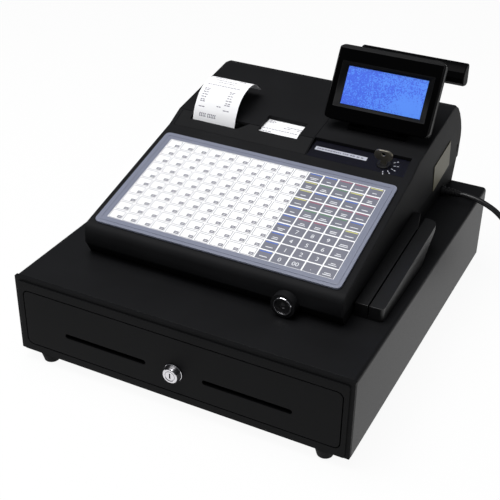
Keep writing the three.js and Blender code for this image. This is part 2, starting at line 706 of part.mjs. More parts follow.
function makeTopHousing() {
  const wall = shellWall;
  let shell = cut(outerSolid(), innerSolid(wall, left + wall, right - wall));
  // Window in the deck for the key membrane
  const margin = membrane.margin - seat;
  const deckHole = prismZ(roundedOutline(margin, padWidth - margin, margin, pad.length - margin, pad.radius / 2),
    -2 * overrun, overrun);
  // Floor of the control panel's recess
  const floorLow = -panel.sink - panel.backing;
  const floor = box(panelLeft - wall, panelRight + wall, panelFront - wall, panelBack + wall,
    floorLow, -panel.sink);
  const rear = box(panelLeft - wall, panelRight + wall, panelBack, panelBack + wall, floorLow, 2 * wall);
  const sinkCut = box(panelLeft, panelRight, panelFront, panelBack, -panel.sink, 4 * overrun);
  const barrelHole = cylinderZ(-4 * overrun, overrun, modeAcross - keyboardAt.x, modeAlong, mode.radius + seat);
  shell = shell.add(fromDeck(join([floor, rear])).intersect(outerSolid()));
  shell = cut(shell, fromDeck(deckHole), fromDeck(sinkCut), fromDeck(barrelHole));
  // Guide for the customer display's post
  const { postRadius, guideWall, guideLength } = customer;
  const guideTop = roofAt(postBack);
  const guide = cylinderZ(guideTop - guideLength - 2 * guideWall, guideTop, postAcross, postBack,
    postRadius + running + guideWall);
  shell = shell.add(guide.intersect(innerSolid(wall / 2, left + wall, right - wall)));
  shell = shell.subtract(cylinderZ(0, 2 * guideTop, postAcross, postBack, postRadius + running));
  // Boss for the key reader
  const boss = cylinderY(bossFront, skirtFront + wall, bossAcross, keyReader.height, keyReader.boss);
  const socket = cylinderY(bossFront - overrun, bossFront + keyReader.depth,
    bossAcross, keyReader.height, keyReader.ring + seat);
  shell = cut(join([shell, boss]), socket);
  // Opening under the printer cover and for the front panel with the paper slot
  const { left: lipLeft, gap } = lipPanel;
  const lipCut = box(lipLeft - gap, seamSide + gap / 2, creaseBack, lipBack + seat, 0, 2 * lipHeight);
  const coverCut = cut(coverRegion(hinge.gap), deepSolid(cover.skirt + hinge.gap, left - 2 * overrun, right));
  const eyeCut = cylinderX(left - overrun, left + cover.wall + hinge.gap, hingeBack, hinge.height,
    hinge.radius + hinge.gap, 2 * roundSteps);
  const wellBack = rearBulge - well.backRoom;
  const screwWell = prismX(roundedOutline(wellBack - well.width / 2, wellBack + well.width / 2,
    well.height - well.length / 2, well.height + well.length / 2, well.width / 2.1), right - wall / 2, right + overrun);
  shell = cut(shell, lipCut, coverCut, eyeCut, screwWell);
  return piece('top_housing', shell, colours.plastic, 0.75);
}

function makePan() {
  const { inset, frontFoot, topInset, wall } = pan;
  const low = seat;
  const points = [
    [frontFoot, low], [panBack, low], [rearFoot - topInset, rearLow - seat], [skirtFront + topInset, skirtLow - seat],
  ];
  const outer = prismX(outline(points), left + inset, right - inset);
  const hollow = [
    [frontFoot + wall, low + wall], [panBack - wall, low + wall], [rearFoot - topInset - wall, rearLow],
    [rearFoot - topInset - wall, 2 * rearLow], [skirtFront + topInset + wall, 2 * rearLow],
    [skirtFront + topInset + wall, skirtLow],
  ];
  const inner = prismX(outline(hollow), left + inset + wall, right - inset - wall);
  const exit = cylinderX(right - 3 * wall, right, cordBack, cord.exitHeight, relief.narrow + seat + relief.groove);
  const shelf = bossFront + keyReader.depth;
  const bossGap = cylinderY(shelf, frontFoot, bossAcross, keyReader.height, keyReader.boss + running);
  return piece('base_housing', cut(outer, inner, exit, bossGap), colours.plastic, 0.75);
}

// Keyboard, on the slope of the deck

function makeKeyboard() {
  const group = new THREE.Group();
  group.position.copy(keyboardAt);
  group.rotation.x = keyboardSlope;
  const { length, thickness, radius, pocket, sideBorder: fieldX, endBorder: fieldY, ridge, ridgeHeight } = pad;
  const w = padWidth;
  const sheet = prismZ(roundedOutline(0, w, 0, length, radius), seat, seat + thickness);
  const field = box(fieldX, w - fieldX, fieldY, length - fieldY, seat + thickness - pocket, thickness + overrun);
  const rimOuter = prismZ(roundedOutline(ridge, w - ridge, ridge, length - ridge, radius / 2), thickness,
    seat + thickness + ridgeHeight);
  const rimInner = prismZ(roundedOutline(1.5 * ridge, w - 1.5 * ridge, 1.5 * ridge, length - 1.5 * ridge, radius / 3),
    0, thickness + overrun);
  const skin = cut(join([sheet, cut(rimOuter, rimInner)]), field);
  const m = membrane.margin;
  const under = -seat;
  const keySheet = prismZ(roundedOutline(m, w - m, m, length - m, radius / 2), under - membrane.thickness, under);
  const k = keyPlate.margin;
  const plateTop = under - membrane.thickness - seat - seat;
  const backing = box(k, w - k, k, length - k, plateTop - keyPlate.thickness, plateTop);
  group.add(piece('keyboard_cover', skin, colours.keypad, 0.35));
  group.add(piece('key_membrane', keySheet, colours.keySheet, 0.6));
  group.add(piece('key_plate', backing, colours.steel, 0.4, 0.8));
  return group;
}

// Control panel and mode lock, on the same slope

function makeControls() {
  const group = new THREE.Group();
  group.position.copy(keyboardAt);
  group.rotation.x = keyboardSlope;
  const low = -panel.sink + seat / 2;
  const sheet = box(panelLeft + seat, panelRight - seat, panelFront + seat, panelBack - seat,
    low, low + panel.thickness);
  const x = modeAcross - keyboardAt.x;
  const y = modeAlong;
  const hole = cylinderZ(low - overrun, low + overrun, x, y, mode.radius + seat);
  group.add(piece('control_panel', cut(sheet, hole), colours.panel, 0.5));
  const top = low + panel.thickness + mode.proud;
  const barrel = cylinderZ(top - mode.depth, top, x, y, mode.radius);
  const bore = cylinderZ(top - mode.depth - overrun, top + overrun, x, y, mode.plug + seat);
  group.add(piece('mode_lock_barrel', cut(barrel, bore), colours.dark, 0.4, 0.3));
  group.add(makeModeKey(x, y, top));
  return group;
}

function makeModeKey(x, y, top) {
  const { plug: plugRadius, bowWidth, bowHeight, bowThickness, neck: neckHeight, bladeWidth, depth } = mode;
  const core = cylinderZ(-depth, -seat, 0, 0, plugRadius);
  const blade = box(-bladeWidth / 2, bladeWidth / 2, -bowThickness / 2, bowThickness / 2, -2 * seat, neckHeight + seat);
  const bow = prismY(roundedOutline(-bowWidth / 2, bowWidth / 2, neckHeight, neckHeight + bowHeight, bowHeight / 2.2),
    -bowThickness / 2, bowThickness / 2);
  const ringHole = cylinderY(-overrun, overrun, 0, neckHeight + bowHeight * 0.62, bowHeight / 5);
  const mesh = piece('mode_key', join([core, blade, cut(bow, ringHole)]), colours.brass, 0.35, 0.9);
  mesh.position.set(x, y, top);
  return mesh;
}

// Printer

function makeLipPanel() {
  const { left: x0, wall, gap } = lipPanel;
  const slab = cut(outerSolid(), innerSolid(wall, left - overrun, right + overrun));
  const bounds = box(x0, seamSide - gap, creaseBack + gap, lipBack - gap, lipHeight - 6 * wall, 2 * lipHeight);
  const notch = prismZ(outline([
    [slit.left, slit.front], [slit.right, slit.front], [slit.taperRight, lipBack + overrun],
    [slit.left, lipBack + overrun],
  ]), 0, 2 * lipHeight);
  const solid = cut(slab.intersect(bounds), notch, sightCutter(0, 0));
  return piece('printer_front_panel', solid, colours.plastic, 0.75);
}

function makeCover() {
  const { skirt, wall, ribs, rib } = cover;
  const region = coverRegion(0);
  const skin = cut(outerSolid(), innerSolid(wall, left - overrun, right + overrun)).intersect(region);
  const band = cut(outerSolid(), deepSolid(skirt, left - overrun, right + overrun)).intersect(region);
  const flange = band.intersect(box(left - overrun, left + wall, 0, 2 * rearBulge, 0, 2 * lipHeight));
  const eye = cylinderX(left, left + wall, hingeBack, hinge.height, hinge.radius, 2 * roundSteps);
  const side = join([flange, eye.intersect(outerSolid())]);
  const x0 = frame.left + frame.wall + seat;
  const x1 = frame.right - frame.wall - seat;
  const barrel = cylinderX(x0, x1, hingeBack, hinge.height, hinge.barrel);
  const pin = cylinderX(x0 - frame.wall, x1 + frame.wall, hingeBack, hinge.height, hinge.pin, roundSteps / 2);
  const gussets = [];
  for (let i = 0; i < ribs; i += 1) {
    const x = x0 + rib + (x1 - x0 - 3 * rib) * (i / (ribs - 1));
    gussets.push(box(x, x + rib, hingeBack - hinge.barrel, hingeBack + hinge.barrel / 2, hinge.height, 2 * lipHeight));
  }
  const inside = outerSolid().intersect(coverRegion(-seat));
  const props = join(gussets).intersect(inside);
  const collarBand = cut(outerSolid(), deepSolid(journalSight.depth, left - overrun, right + overrun));
  const collar = cut(sightCutter(journalSight.collar, 0), sightCutter(0, 0)).intersect(collarBand).intersect(region);
  const solid = cut(join([skin, side, barrel, pin, props, collar]), sightCutter(0, 0));
  return piece('printer_cover', solid, colours.plastic, 0.75);
}

// A strip of paper: a curve in Y and Z, given a thickness and carried across its width
function paperStrip(points, x0, x1) {
  const curve = new THREE.CatmullRomCurve3(points.map(([y, z]) => new THREE.Vector3(y, z, 0)), false, 'centripetal');
  const steps = 5 * arcSteps;
  const upper = [];
  const lower = [];
  for (let i = 0; i <= steps; i += 1) {
    const at = curve.getPointAt(i / steps);
    const along = curve.getTangentAt(i / steps);
    upper.push([at.x, at.y]);
    lower.push([at.x + along.y * paperThickness, at.y - along.x * paperThickness]);
  }
  return prismX(outline([...lower, ...upper.reverse()]), x0, x1);
}

// The printed receipt stands out of the slot and curls back over the cover
function makeReceipt() {
  const start = slit.front + seat;
  const rise = lipHeight - 5 * lipPanel.wall;
  const curlShares = [[0, 0], [0.01, 0.15], [0.08, 0.48], [0.25, 0.83], [0.49, 1], [0.72, 1.01], [0.9, 0.84], [1, 0.68]];
  const { curlLength, curlHeight } = receipt;
  const points = curlShares.map(([a, b]) => [start + a * curlLength, rise + b * curlHeight]);
  return piece('receipt_paper', paperStrip(points, receiptLeft, receiptLeft + paperWidth), colours.paper, 0.85);
}

const sightMiddle = (journalSight.left + journalSight.right) / 2;
const journalUnder = journalSight.depth + journalSight.collar;

// The journal paper runs over its table under the window and back to the take-up spool
function makeJournalPaper() {
  const under = journalUnder;
  const start = platen.back - 2 * platen.radius;
  const startZ = lipHeight - under - platen.radius;
  const points = [
    [start - platen.shaft, startZ - platen.radius], [start, startZ], [lipBack, lipHeight - under],
    [journalSight.back, roofAt(journalSight.back) - under],
    [(journalSight.back + spool.back) / 2, roofAt(journalSight.back) - under],
    [spool.back - spool.core / 2, spool.height + spool.core + paperThickness + seat],
  ];
  const half = paperWidth / 2 - seat;
  return piece('journal_paper', paperStrip(points, sightMiddle - half, sightMiddle + half), colours.paper, 0.85);
}

function cradle(roll, rollZ, x0) {
  const { rib, reach, height } = rollCradle;
  const block = box(x0, x0 + rib, roll.back - reach, roll.back + reach, frame.floor, frame.floor + height);
  return cut(block, cylinderX(x0 - rib, x0 + 2 * rib, roll.back, rollZ, roll.radius + running, 2 * roundSteps));
}

const rollLow = frame.floor + frame.wall + rollCradle.lift;
const receiptRollZ = rollLow + receiptRoll.radius;
const journalRollZ = rollLow + journalRoll.radius;
const receiptMiddle = receiptLeft + paperWidth / 2;

function frameWallOutline() {
  const { front: y0, floor, frontTop, backTop } = frame;
  const y1 = frameBack;
  const ear = hinge.barrel + hinge.gap;
  const shape = new THREE.Shape();
  shape.moveTo(y0, floor);
  shape.lineTo(y1, floor);
  shape.lineTo(y1, hinge.height - hinge.radius - 2 * hinge.gap - frame.wall);
  shape.lineTo(hingeBack, hinge.height - hinge.radius - 2 * hinge.gap);
  shape.absarc(hingeBack, hinge.height, ear, -Math.PI / 2, Math.PI, false);
  shape.lineTo(hingeBack - ear, backTop);
  shape.lineTo(tubBack, backTop);
  shape.lineTo(spool.back + 2 * spool.core, spool.height + 2 * spool.shaft);
  shape.lineTo(spool.back - 2 * spool.core, spool.height + 2 * spool.shaft);
  shape.lineTo(platen.back + 3 * platen.radius, platen.height + platen.radius);
  shape.lineTo(platen.back - platen.radius, platen.height + platen.radius);
  shape.lineTo(y0, frontTop);
  shape.closePath();
  return shape;
}

// The printer's frame is a tub that carries the rolls, platens, spool and cover
function makePrinterFrame() {
  const { left: x0, right: x1, front: y0, floor, wall, divider, backTop, frontTop, legRadius } = frame;
  const sides = [x0, divider, x1 - wall].map((x) => prismX(frameWallOutline(), x, x + wall));
  const earless = box(divider - wall, divider + 2 * wall, tubBack, frameBack + overrun, 0, 2 * lipHeight);
  sides[1] = sides[1].subtract(earless);
  const base = box(x0, x1, y0, tubBack, floor, floor + wall);
  const backWall = box(x0, x1, tubBack - wall, tubBack, floor, backTop - hinge.gap);
  const frontWall = box(x0, x1, y0, y0 + wall, floor, frontTop - wall);
  const legs = [];
  for (const x of [x0 + 2 * legRadius, x1 - 2 * legRadius]) {
    for (const y of [y0 + 2 * legRadius, tubBack - 2 * legRadius]) {
      legs.push(cylinderZ(pan.wall + 2 * seat, floor + seat, x, y, legRadius, roundSteps / 2));
    }
  }
  const ribs = [
    cradle(receiptRoll, receiptRollZ, x0 + rollCradle.inset),
    cradle(receiptRoll, receiptRollZ, divider - rollCradle.inset),
    cradle(journalRoll, journalRollZ, divider + rollCradle.inset),
    cradle(journalRoll, journalRollZ, x1 - wall - rollCradle.inset),
  ];
  const headBack = platen.back - platen.radius - headBlock.gap;
  const heads = box(x0 + wall / 2, x1 - wall / 2, headBack - headBlock.depth, headBack,
    platen.height - headBlock.height, platen.height);
  const gearRoom = [receiptMiddle, sightMiddle].map((middle) => {
    const near = middle + paperWidth / 2;
    const far = near + platen.gearWidth + 4 * running;
    return cylinderX(near, far, platen.back, platen.height, platen.gearRadius + running);
  });
  const tableGap = journalUnder + 2 * paperThickness + seat;
  const tableFront = platen.back + platen.gearRadius + 2 * running;
  const tableBack = journalSight.back + wall;
  const tableLow = roofAt(journalSight.back) - tableGap - 2 * wall;
  const table = prismX(outline([
    [tableFront, tableLow], [tableBack, tableLow], [tableBack, roofAt(tableBack) - tableGap],
    [tableFront, roofAt(tableFront) - tableGap],
  ]), divider + wall / 2, x1 - wall / 2);
  const cheeks = [divider, x1 - wall].map((x) => box(x, x + wall, tableFront, tableBack, platen.height, tableLow + wall));
  const bar = cut(heads, ...gearRoom);
  let solid = join([...sides, base, backWall, frontWall, ...legs, ...ribs, bar, table, ...cheeks]);
  const shaftHole = cylinderX(x0 - overrun, x1 + overrun, platen.back, platen.height, platen.shaft + seat);
  const spoolHole = cylinderX(divider - overrun, x1 + overrun, spool.back, spool.height, spool.shaft + seat);
  const pinHole = cylinderX(x0 - overrun, x1 + overrun, hingeBack, hinge.height, hinge.pin + seat);
  solid = cut(solid, shaftHole, spoolHole, pinHole);
  return piece('printer_frame', solid, colours.dark, 0.7);
}

function makeRoll(name, roll, z, middle) {
  const half = paperWidth / 2 - seat;
  const body = cylinderX(-half, half, 0, 0, roll.radius);
  const bore = cylinderX(-half - overrun, half + overrun, 0, 0, roll.core);
  const mesh = piece(name, cut(body, bore), colours.paper, 0.85);
  mesh.position.set(middle, roll.back, z);
  return mesh;
}

function makeSpool() {
  const half = paperWidth / 2 + seat;
  const { flange, core, flangeWidth, shaft } = spool;
  const body = cylinderX(-half, half, 0, 0, core);
  const flanges = [-1, 1].map((s) => {
    const a = s * half;
    const b = s * (half + flangeWidth);
    return cylinderX(Math.min(a, b), Math.max(a, b), 0, 0, flange);
  });
  const ends = cylinderX(frame.divider - sightMiddle, frame.right - sightMiddle, 0, 0, shaft, roundSteps / 2);
  const mesh = piece('takeup_spool', join([body, ...flanges, ends]), colours.dark, 0.6);
  mesh.position.set(sightMiddle, spool.back, spool.height);
  return mesh;
}

// A platen is a rubber roller on its shaft, with its gear at the right end
function makePlaten(name, x0, x1, middle) {
  const half = paperWidth / 2 + seat;
  const { radius, shaft, gearRadius, gearWidth, teeth, tooth } = platen;
  const roller = cylinderX(-half, half, 0, 0, radius);
  const spindle = cylinderX(x0 - middle, x1 - middle, 0, 0, shaft, roundSteps / 2);
  const gearShape = new THREE.Shape();
  for (let i = 0; i < teeth; i += 1) {
    const turn = (2 * Math.PI) / teeth;
    const places = [[0, gearRadius - tooth], [0.25, gearRadius - tooth], [0.4, gearRadius], [0.7, gearRadius]];
    for (const [share, r] of places) {
      const angle = (i + share) * turn;
      const point = [r * Math.cos(angle), r * Math.sin(angle)];
      if (i === 0 && share === 0) gearShape.moveTo(...point);
      else gearShape.lineTo(...point);
    }
  }
  gearShape.closePath();
  const gear = prismX(gearShape, half + running, half + running + gearWidth);
  const mesh = piece(name, join([roller, spindle, gear]), colours.dark, 0.8);
  mesh.position.set(middle, platen.back, platen.height);
  return mesh;
}

// Operator display: its group turns on the neck's pin

function makeScreen() {
  const group = new THREE.Group();
  group.position.set(screenCentre, axisY, axisZ);
  group.rotation.x = -screen.tilt;
  const { width: w, height: h, thickness, frontPart, sideFrame, recessHeight, recessLow, taper } = screen;
  const { rimSide, rimTop, rimLow, rimRadius, chamfer } = screen;
  const { glassSide, glassEnd, glassSink, glassThickness, axisUp, axisDeep, wall } = screen;
  const recessWidth = w - 2 * sideFrame;
  const glassWidth = recessWidth - 2 * glassSide;
  const glassHeight = recessHeight - 2 * glassEnd;
  const low = -axisUp;
  const face = -axisDeep;
  const back = face + thickness;
  const mid = face + frontPart;
  const middle = low + recessLow + recessHeight / 2;
  const rimHeight = h + rimTop + rimLow;
  const rimLift = (rimTop - rimLow) / 2;
  const rimHalf = w / 2 + rimSide;
  const rimOutline = () => roundedOutline(-rimHalf, rimHalf, low - rimLow, low + h + rimTop, rimRadius);
  const spread = (frontPart + overrun) / chamfer;
  const farWide = w + 2 * rimSide * spread;
  const farHigh = h + (rimTop + rimLow) * spread;
  const slope = frustumY(w, h, farWide, farHigh, face, mid + overrun, rimLift * spread);
  slope.translate(0, 0, low + h / 2);
  const slab = prismY(rimOutline(), face - overrun, mid).intersect(toSolid(slope));
  const wellWide = prismY(roundedOutline(-glassWidth / 2, glassWidth / 2, middle - glassHeight / 2,
    middle + glassHeight / 2, wall / 4), face - overrun, mid + overrun);
  const splay = frustumY(glassWidth, glassHeight, recessWidth, recessHeight, face + glassSink, face - seat);
  splay.translate(0, 0, middle);
  const bezelSolid = cut(slab, wellWide, toSolid(splay));
  group.add(piece('display_bezel', bezelSolid, colours.dark, 0.45));
  const glass = box(-glassWidth / 2 + seat, glassWidth / 2 - seat, face + glassSink, face + glassSink + glassThickness,
    middle - glassHeight / 2 + seat, middle + glassHeight / 2 - seat);
  group.add(piece('display_screen', glass, colours.lcd, 0.25));
  const rimDeep = mid + seat + wall;
  const shellBack = frustumY(2 * rimHalf, rimHeight, w - 2 * taper, h - 2 * taper, rimDeep, back, -rimLift);
  shellBack.translate(0, 0, low + h / 2 + rimLift);
  const rim = prismY(rimOutline(), mid + seat, rimDeep);
  const cornered = prismY(rimOutline(), mid, back + overrun);
  const knuckleHalf = neck.width / 2 - neck.ear - running;
  const knuckle = cylinderX(-knuckleHalf, knuckleHalf, 0, 0, neck.barrel);
  const bore = cylinderX(-neck.width, neck.width, 0, 0, neck.pin + seat);
  const earGap = neck.barrel + running;
  const earSpace = [-1, 1].map((s) => {
    const a = s * (knuckleHalf);
    const b = s * (neck.width / 2 + running);
    return box(Math.min(a, b), Math.max(a, b), -earGap, back + overrun, low - rimLow - overrun, earGap);
  });
  const earRoom = [-1, 1].map((s) => {
    const a = s * (knuckleHalf);
    const b = s * (neck.width / 2 + running);
    return cylinderX(Math.min(a, b), Math.max(a, b), 0, 0, earGap);
  });
  const cavity = box(-w / 2 + taper + wall, w / 2 - taper - wall, mid, back - wall, 2 * neck.barrel, low + h - taper - wall);
  const rear = cut(join([toSolid(shellBack).intersect(cornered), rim, knuckle]), bore, cavity, ...earSpace, ...earRoom);
  group.add(piece('display_back', rear, colours.dark, 0.6));
  return group;
}

// A four-sided taper along Y between two rectangles centred on the axis, the second lifted where asked
function frustumY(w0, h0, w1, h1, y0, y1, lift = 0) {
  const geometry = new THREE.BoxGeometry(1, 1, 1);
  const position = geometry.attributes.position;
  for (let i = 0; i < position.count; i += 1) {
    const far = position.getY(i) > 0;
    const wide = far ? w1 : w0;
    const high = far ? h1 : h0;
    position.setXYZ(i, position.getX(i) * wide, far ? y1 : y0, position.getZ(i) * high + (far ? lift : 0));
  }
  if (y1 < y0) {
    geometry.index.array.reverse();
  }
  return geometry;
}

function makeNeck() {
  const { width: w, depth, ear, barrel, pin, plinth } = neck;
  const low = axisY - depth / 2;
  const high = axisY + depth / 2;
  const foot = prismX(outline([
    [low, roofAt(low) + seat], [high, roofAt(high) + seat], [high, roofAt(high) + plinth], [low, roofAt(low) + plinth],
  ]), -w / 2, w / 2);
  const ears = [-1, 1].map((s) => {
    const a = s * (w / 2);
    const b = s * (w / 2 - ear);
    const shape = outline([
      [axisY - barrel, roofAt(axisY)  + plinth / 2], [axisY + barrel, roofAt(axisY) + plinth / 2],
      [axisY + barrel, axisZ], [axisY - barrel, axisZ],
    ]);
    const post = prismX(shape, Math.min(a, b), Math.max(a, b));
    return join([post, cylinderX(Math.min(a, b), Math.max(a, b), axisY, axisZ, barrel)]);
  });
  const pinSolid = cylinderX(-w / 2 + ear / 2, w / 2 - ear / 2, axisY, axisZ, pin, roundSteps / 2);
  const mesh = piece('display_neck', join([foot, ...ears, pinSolid]), colours.dark, 0.65);
  mesh.position.x = screenCentre;
  return mesh;
}

// Customer display

function makePost() {
  const { postRadius, postLow, postHigh, spigot, spigotLength } = customer;
  const tube = cylinderZ(postLow, postHigh, 0, 0, postRadius);
  const tip = cylinderZ(postHigh - seat, postHigh + spigotLength, 0, 0, spigot);
  const hollow = cylinderZ(postLow - overrun, postHigh - 2 * customer.guideWall, 0, 0, postRadius - customer.guideWall);
  const mesh = piece('customer_display_post', cut(join([tube, tip]), hollow), colours.dark, 0.55);
  mesh.position.set(postAcross, postBack, 0);
  return mesh;
}

function customerOutline() {
  const { height, depth, corner } = customer;
  const shape = new THREE.Shape();
  const flat = depth / 2;
  shape.absarc(flat - corner, corner, corner, -Math.PI / 2, 0);
  shape.absarc(flat - corner, height - corner, corner, 0, Math.PI / 2);
  shape.absellipse(flat - depth * 0.35, height / 2, depth * 0.65, height / 2, Math.PI / 2, 1.5 * Math.PI, false);
  shape.closePath();
  return shape;
}

function makeCustomerHead() {
  const { width: w, height, depth, spigot, spigotLength, glassSide, glassEnd, glassThickness, glassSink } = customer;
  const glassWidth = w - 2 * glassSide;
  const shape = customerOutline();
  const body = prismX(shape, -w / 2, w / 2, 2);
  const socket = cylinderZ(-overrun, spigotLength + 2 * seat, 0, 0, spigot + seat);
  const sink = glassThickness + glassSink + seat;
  const windowCut = box(-glassWidth / 2, glassWidth / 2, depth / 2 - sink, depth / 2 + overrun,
    glassEnd, height - glassEnd);
  const head = piece('customer_display_head', cut(body, socket, windowCut), colours.dark, 0.5);
  head.position.set(postAcross, postBack, headLow);
  const glass = box(-glassWidth / 2 + seat, glassWidth / 2 - seat, depth / 2 - sink + seat, depth / 2 - glassSink,
    glassEnd + seat, height - glassEnd - seat);
  const lens = piece('customer_display_window', glass, colours.glass, 0.15);
  lens.position.copy(head.position);
  return [head, lens];
}

// Card reader: two halves with the swipe slot between them

const readerLeft = right + reader.gap;

function readerSide(back) {
  const { front: y0, frontTop, footBack } = reader;
  const low = seat;
  const top = frontTop + (reader.backTop - frontTop) * ((back - y0) / (reader.back - y0));
  return outline([[y0, low], [footBack, low], [back, top], [y0, frontTop]]);
}

function makeReaderInner() {
  const { innerWidth, slot, front: y0, back, slotFloor, flare, flareLength, backTop } = reader;
  const low = seat;
  const x1 = readerLeft + innerWidth;
  const side = prismX(readerSide(back), readerLeft, x1);
  const plan = prismZ(outline([
    [readerLeft, y0], [x1, y0], [x1, back - flareLength], [x1 - flare, back], [readerLeft, back],
  ]), low, 2 * backTop);
  const web = prismX(outline([
    [y0 + slot, low], [reader.footBack - slot, low], [reader.footBack - slot, slotFloor], [y0 + slot, slotFloor],
  ]), x1 - seat, x1 + slot - seat);
  return piece('card_reader_inner', join([side.intersect(plan), web]), colours.plastic, 0.7);
}

function makeReaderOuter() {
  const { innerWidth, slot, outerWidth, front: y0, backTop, frontRadius, backRadius } = reader;
  const back = reader.back - slot - frontRadius;
  const x0 = readerLeft + innerWidth + slot;
  const x1 = x0 + outerWidth;
  const side = prismX(readerSide(back), x0, x1);
  const shape = new THREE.Shape();
  shape.moveTo(x0, y0);
  shape.lineTo(x1 - frontRadius, y0);
  shape.absarc(x1 - frontRadius, y0 + frontRadius, frontRadius, -Math.PI / 2, 0);
  shape.absarc(x1 - backRadius, back - backRadius, backRadius, 0, Math.PI / 2);
  shape.lineTo(x0, back);
  shape.closePath();
  return piece('card_reader_outer', side.intersect(prismZ(shape, 0, 2 * backTop)), colours.plastic, 0.7);
}

function makeKeyReader() {
  const { height, ring, ringWidth, proud, coreGap, coreSink, depth } = keyReader;
  const core = ring - ringWidth - coreGap;
  const hoop = toSolid(turned([
    [0, seat - depth], [ring, seat - depth], [ring, proud / 2], [ring - ringWidth / 2, proud], [0, proud],
  ]));
  const bore = cylinderZ(-depth - overrun, overrun, 0, 0, ring - ringWidth);
  const hoopMesh = piece('key_reader_ring', cut(hoop, bore), colours.chrome, 0.25, 1);
  const disc = toSolid(turned([
    [0, seat - depth], [core, seat - depth], [core, -coreSink], [core / 5, -coreSink], [core / 6, 0], [0, 0],
  ]));
  const coreMesh = piece('key_reader_core', disc, colours.dark, 0.5);
  for (const mesh of [hoopMesh, coreMesh]) {
    mesh.rotation.x = Math.PI / 2;
    mesh.position.set(bossAcross, bossFront, height);
  }
  return [hoopMesh, coreMesh];
}

function makeSidePlate() {
  const { length, height, thickness, backRoom, centreHeight } = plate;
  const sheet = box(0, thickness, -length / 2, length / 2, -height / 2, height / 2);
  const mesh = piece('side_plate', sheet, colours.label, 0.6);
  mesh.rotation.x = roofSlope;
  mesh.position.set(right + seat, rearBulge - backRoom, centreHeight);
  return mesh;
}

function makeBoard() {
  const { inset, front: y0, width: w, length, thickness, lift, chip, chipHeight, legRadius } = board;
  const x0 = left + inset;
  const sheet = box(x0, x0 + w, y0, y0 + length, lift, lift + thickness);
  const places = [0.2, 0.5, 0.8];
  const parts = places.map((share) => {
    const x = x0 + w * share - chip / 2;
    const y = y0 + length * (1 - share) - chip / 2;
    return box(x, x + chip, y, y + chip, lift + thickness - seat, lift + thickness + chipHeight);
  });
  const legs = [];
  for (const x of [x0 + 2 * legRadius, x0 + w - 2 * legRadius]) {
    for (const y of [y0 + 2 * legRadius, y0 + length - 2 * legRadius]) {
      legs.push(cylinderZ(pan.wall + 2 * seat, lift + seat, x, y, legRadius, roundSteps / 2));
    }
  }
  return piece('main_board', join([sheet, ...parts, ...legs]), colours.board, 0.6);
}

// Mains lead: strain relief, free run, coil with its tie, and plug

function makeRelief() {
  const { length, wide, narrow, collar, collarLength, inside, ribs, groove } = relief;
  const pairs = [[0, -inside], [narrow + seat, -inside], [narrow + seat, 0], [collar, 0], [collar, collarLength]];
  const run = length - collarLength;
  for (let i = 0; i < ribs; i += 1) {
    const share = i / ribs;
    const radius = wide + (narrow - wide) * share;
    const start = collarLength + run * share;
    const half = run / ribs / 2;
    pairs.push([radius, start], [radius, start + half], [radius - groove, start + half], [radius - groove, start + 2 * half]);
  }
  pairs.push([0, length]);
  const geometry = turned(pairs, roundSteps / 2);
  const mesh = piece('strain_relief', toSolid(geometry), colours.rubber, 0.85);
  mesh.rotation.y = Math.PI / 2;
  mesh.position.set(right - pan.inset + seat, cordBack, cord.exitHeight);
  return mesh;
}

function tube(points, radius, sides, steps) {
  const curve = new THREE.CatmullRomCurve3(points, false, 'centripetal');
  const ring = [];
  for (let i = 0; i < sides; i += 1) {
    const angle = (2 * Math.PI * i) / sides;
    ring.push(new THREE.Vector2(radius * Math.cos(angle), radius * Math.sin(angle)));
  }
  const geometry = new THREE.ExtrudeGeometry(new THREE.Shape(ring), { steps, bevelEnabled: false, extrudePath: curve });
  return toSolid(geometry);
}

const cordRadius = cord.diameter / 2;
const tableLevel = -footing.height - caseHeight;
const coilOuter = coil.inner + coil.turnsPerLayer * coil.pitch;
const coilLevel = tableLevel + coil.lift + cordRadius;
const coilStart = -Math.PI / 2;

// The free run, in the register's frame: out of the relief, over the case's edge and down to the coil
const reliefEnd = right - pan.inset + seat + relief.length + seat;
const routePoints = [
  [reliefEnd, cordBack, cord.exitHeight], [reliefEnd + cord.diameter, cordBack, cord.exitHeight],
  [399, 410, 5.8], [407, 410, 4.5], [415, 410, 2.2],
  [423, 410, -1], [431, 410, -5.2], [439, 409, -10.6], [447, 408, -17.6], [454.5, 405, -27], [461, 401, -38],
  [466, 396, -50], [470, 390, -63], [473.5, 383.5, -76.5], [477.5, 377.5, -89.5], [483, 373.5, -101],
  [491, 372.6, -106.4],
];

function makeFreeCord() {
  const points = routePoints.map(([x, y, z]) => new THREE.Vector3(x, y, z));
  const end = new THREE.Vector3(coil.centreX - cord.diameter - seat, coil.centreY - coilOuter, coilLevel);
  points.push(end.clone().setX(end.x - cord.diameter), end);
  const curve = new THREE.CatmullRomCurve3(points, false, 'centripetal');
  const steps = Math.round(curve.getLength() / cord.step);
  const solid = tube(points, cordRadius, cord.sides, 2 * steps);
  return piece('power_cord', solid, colours.rubber, 0.6);
}

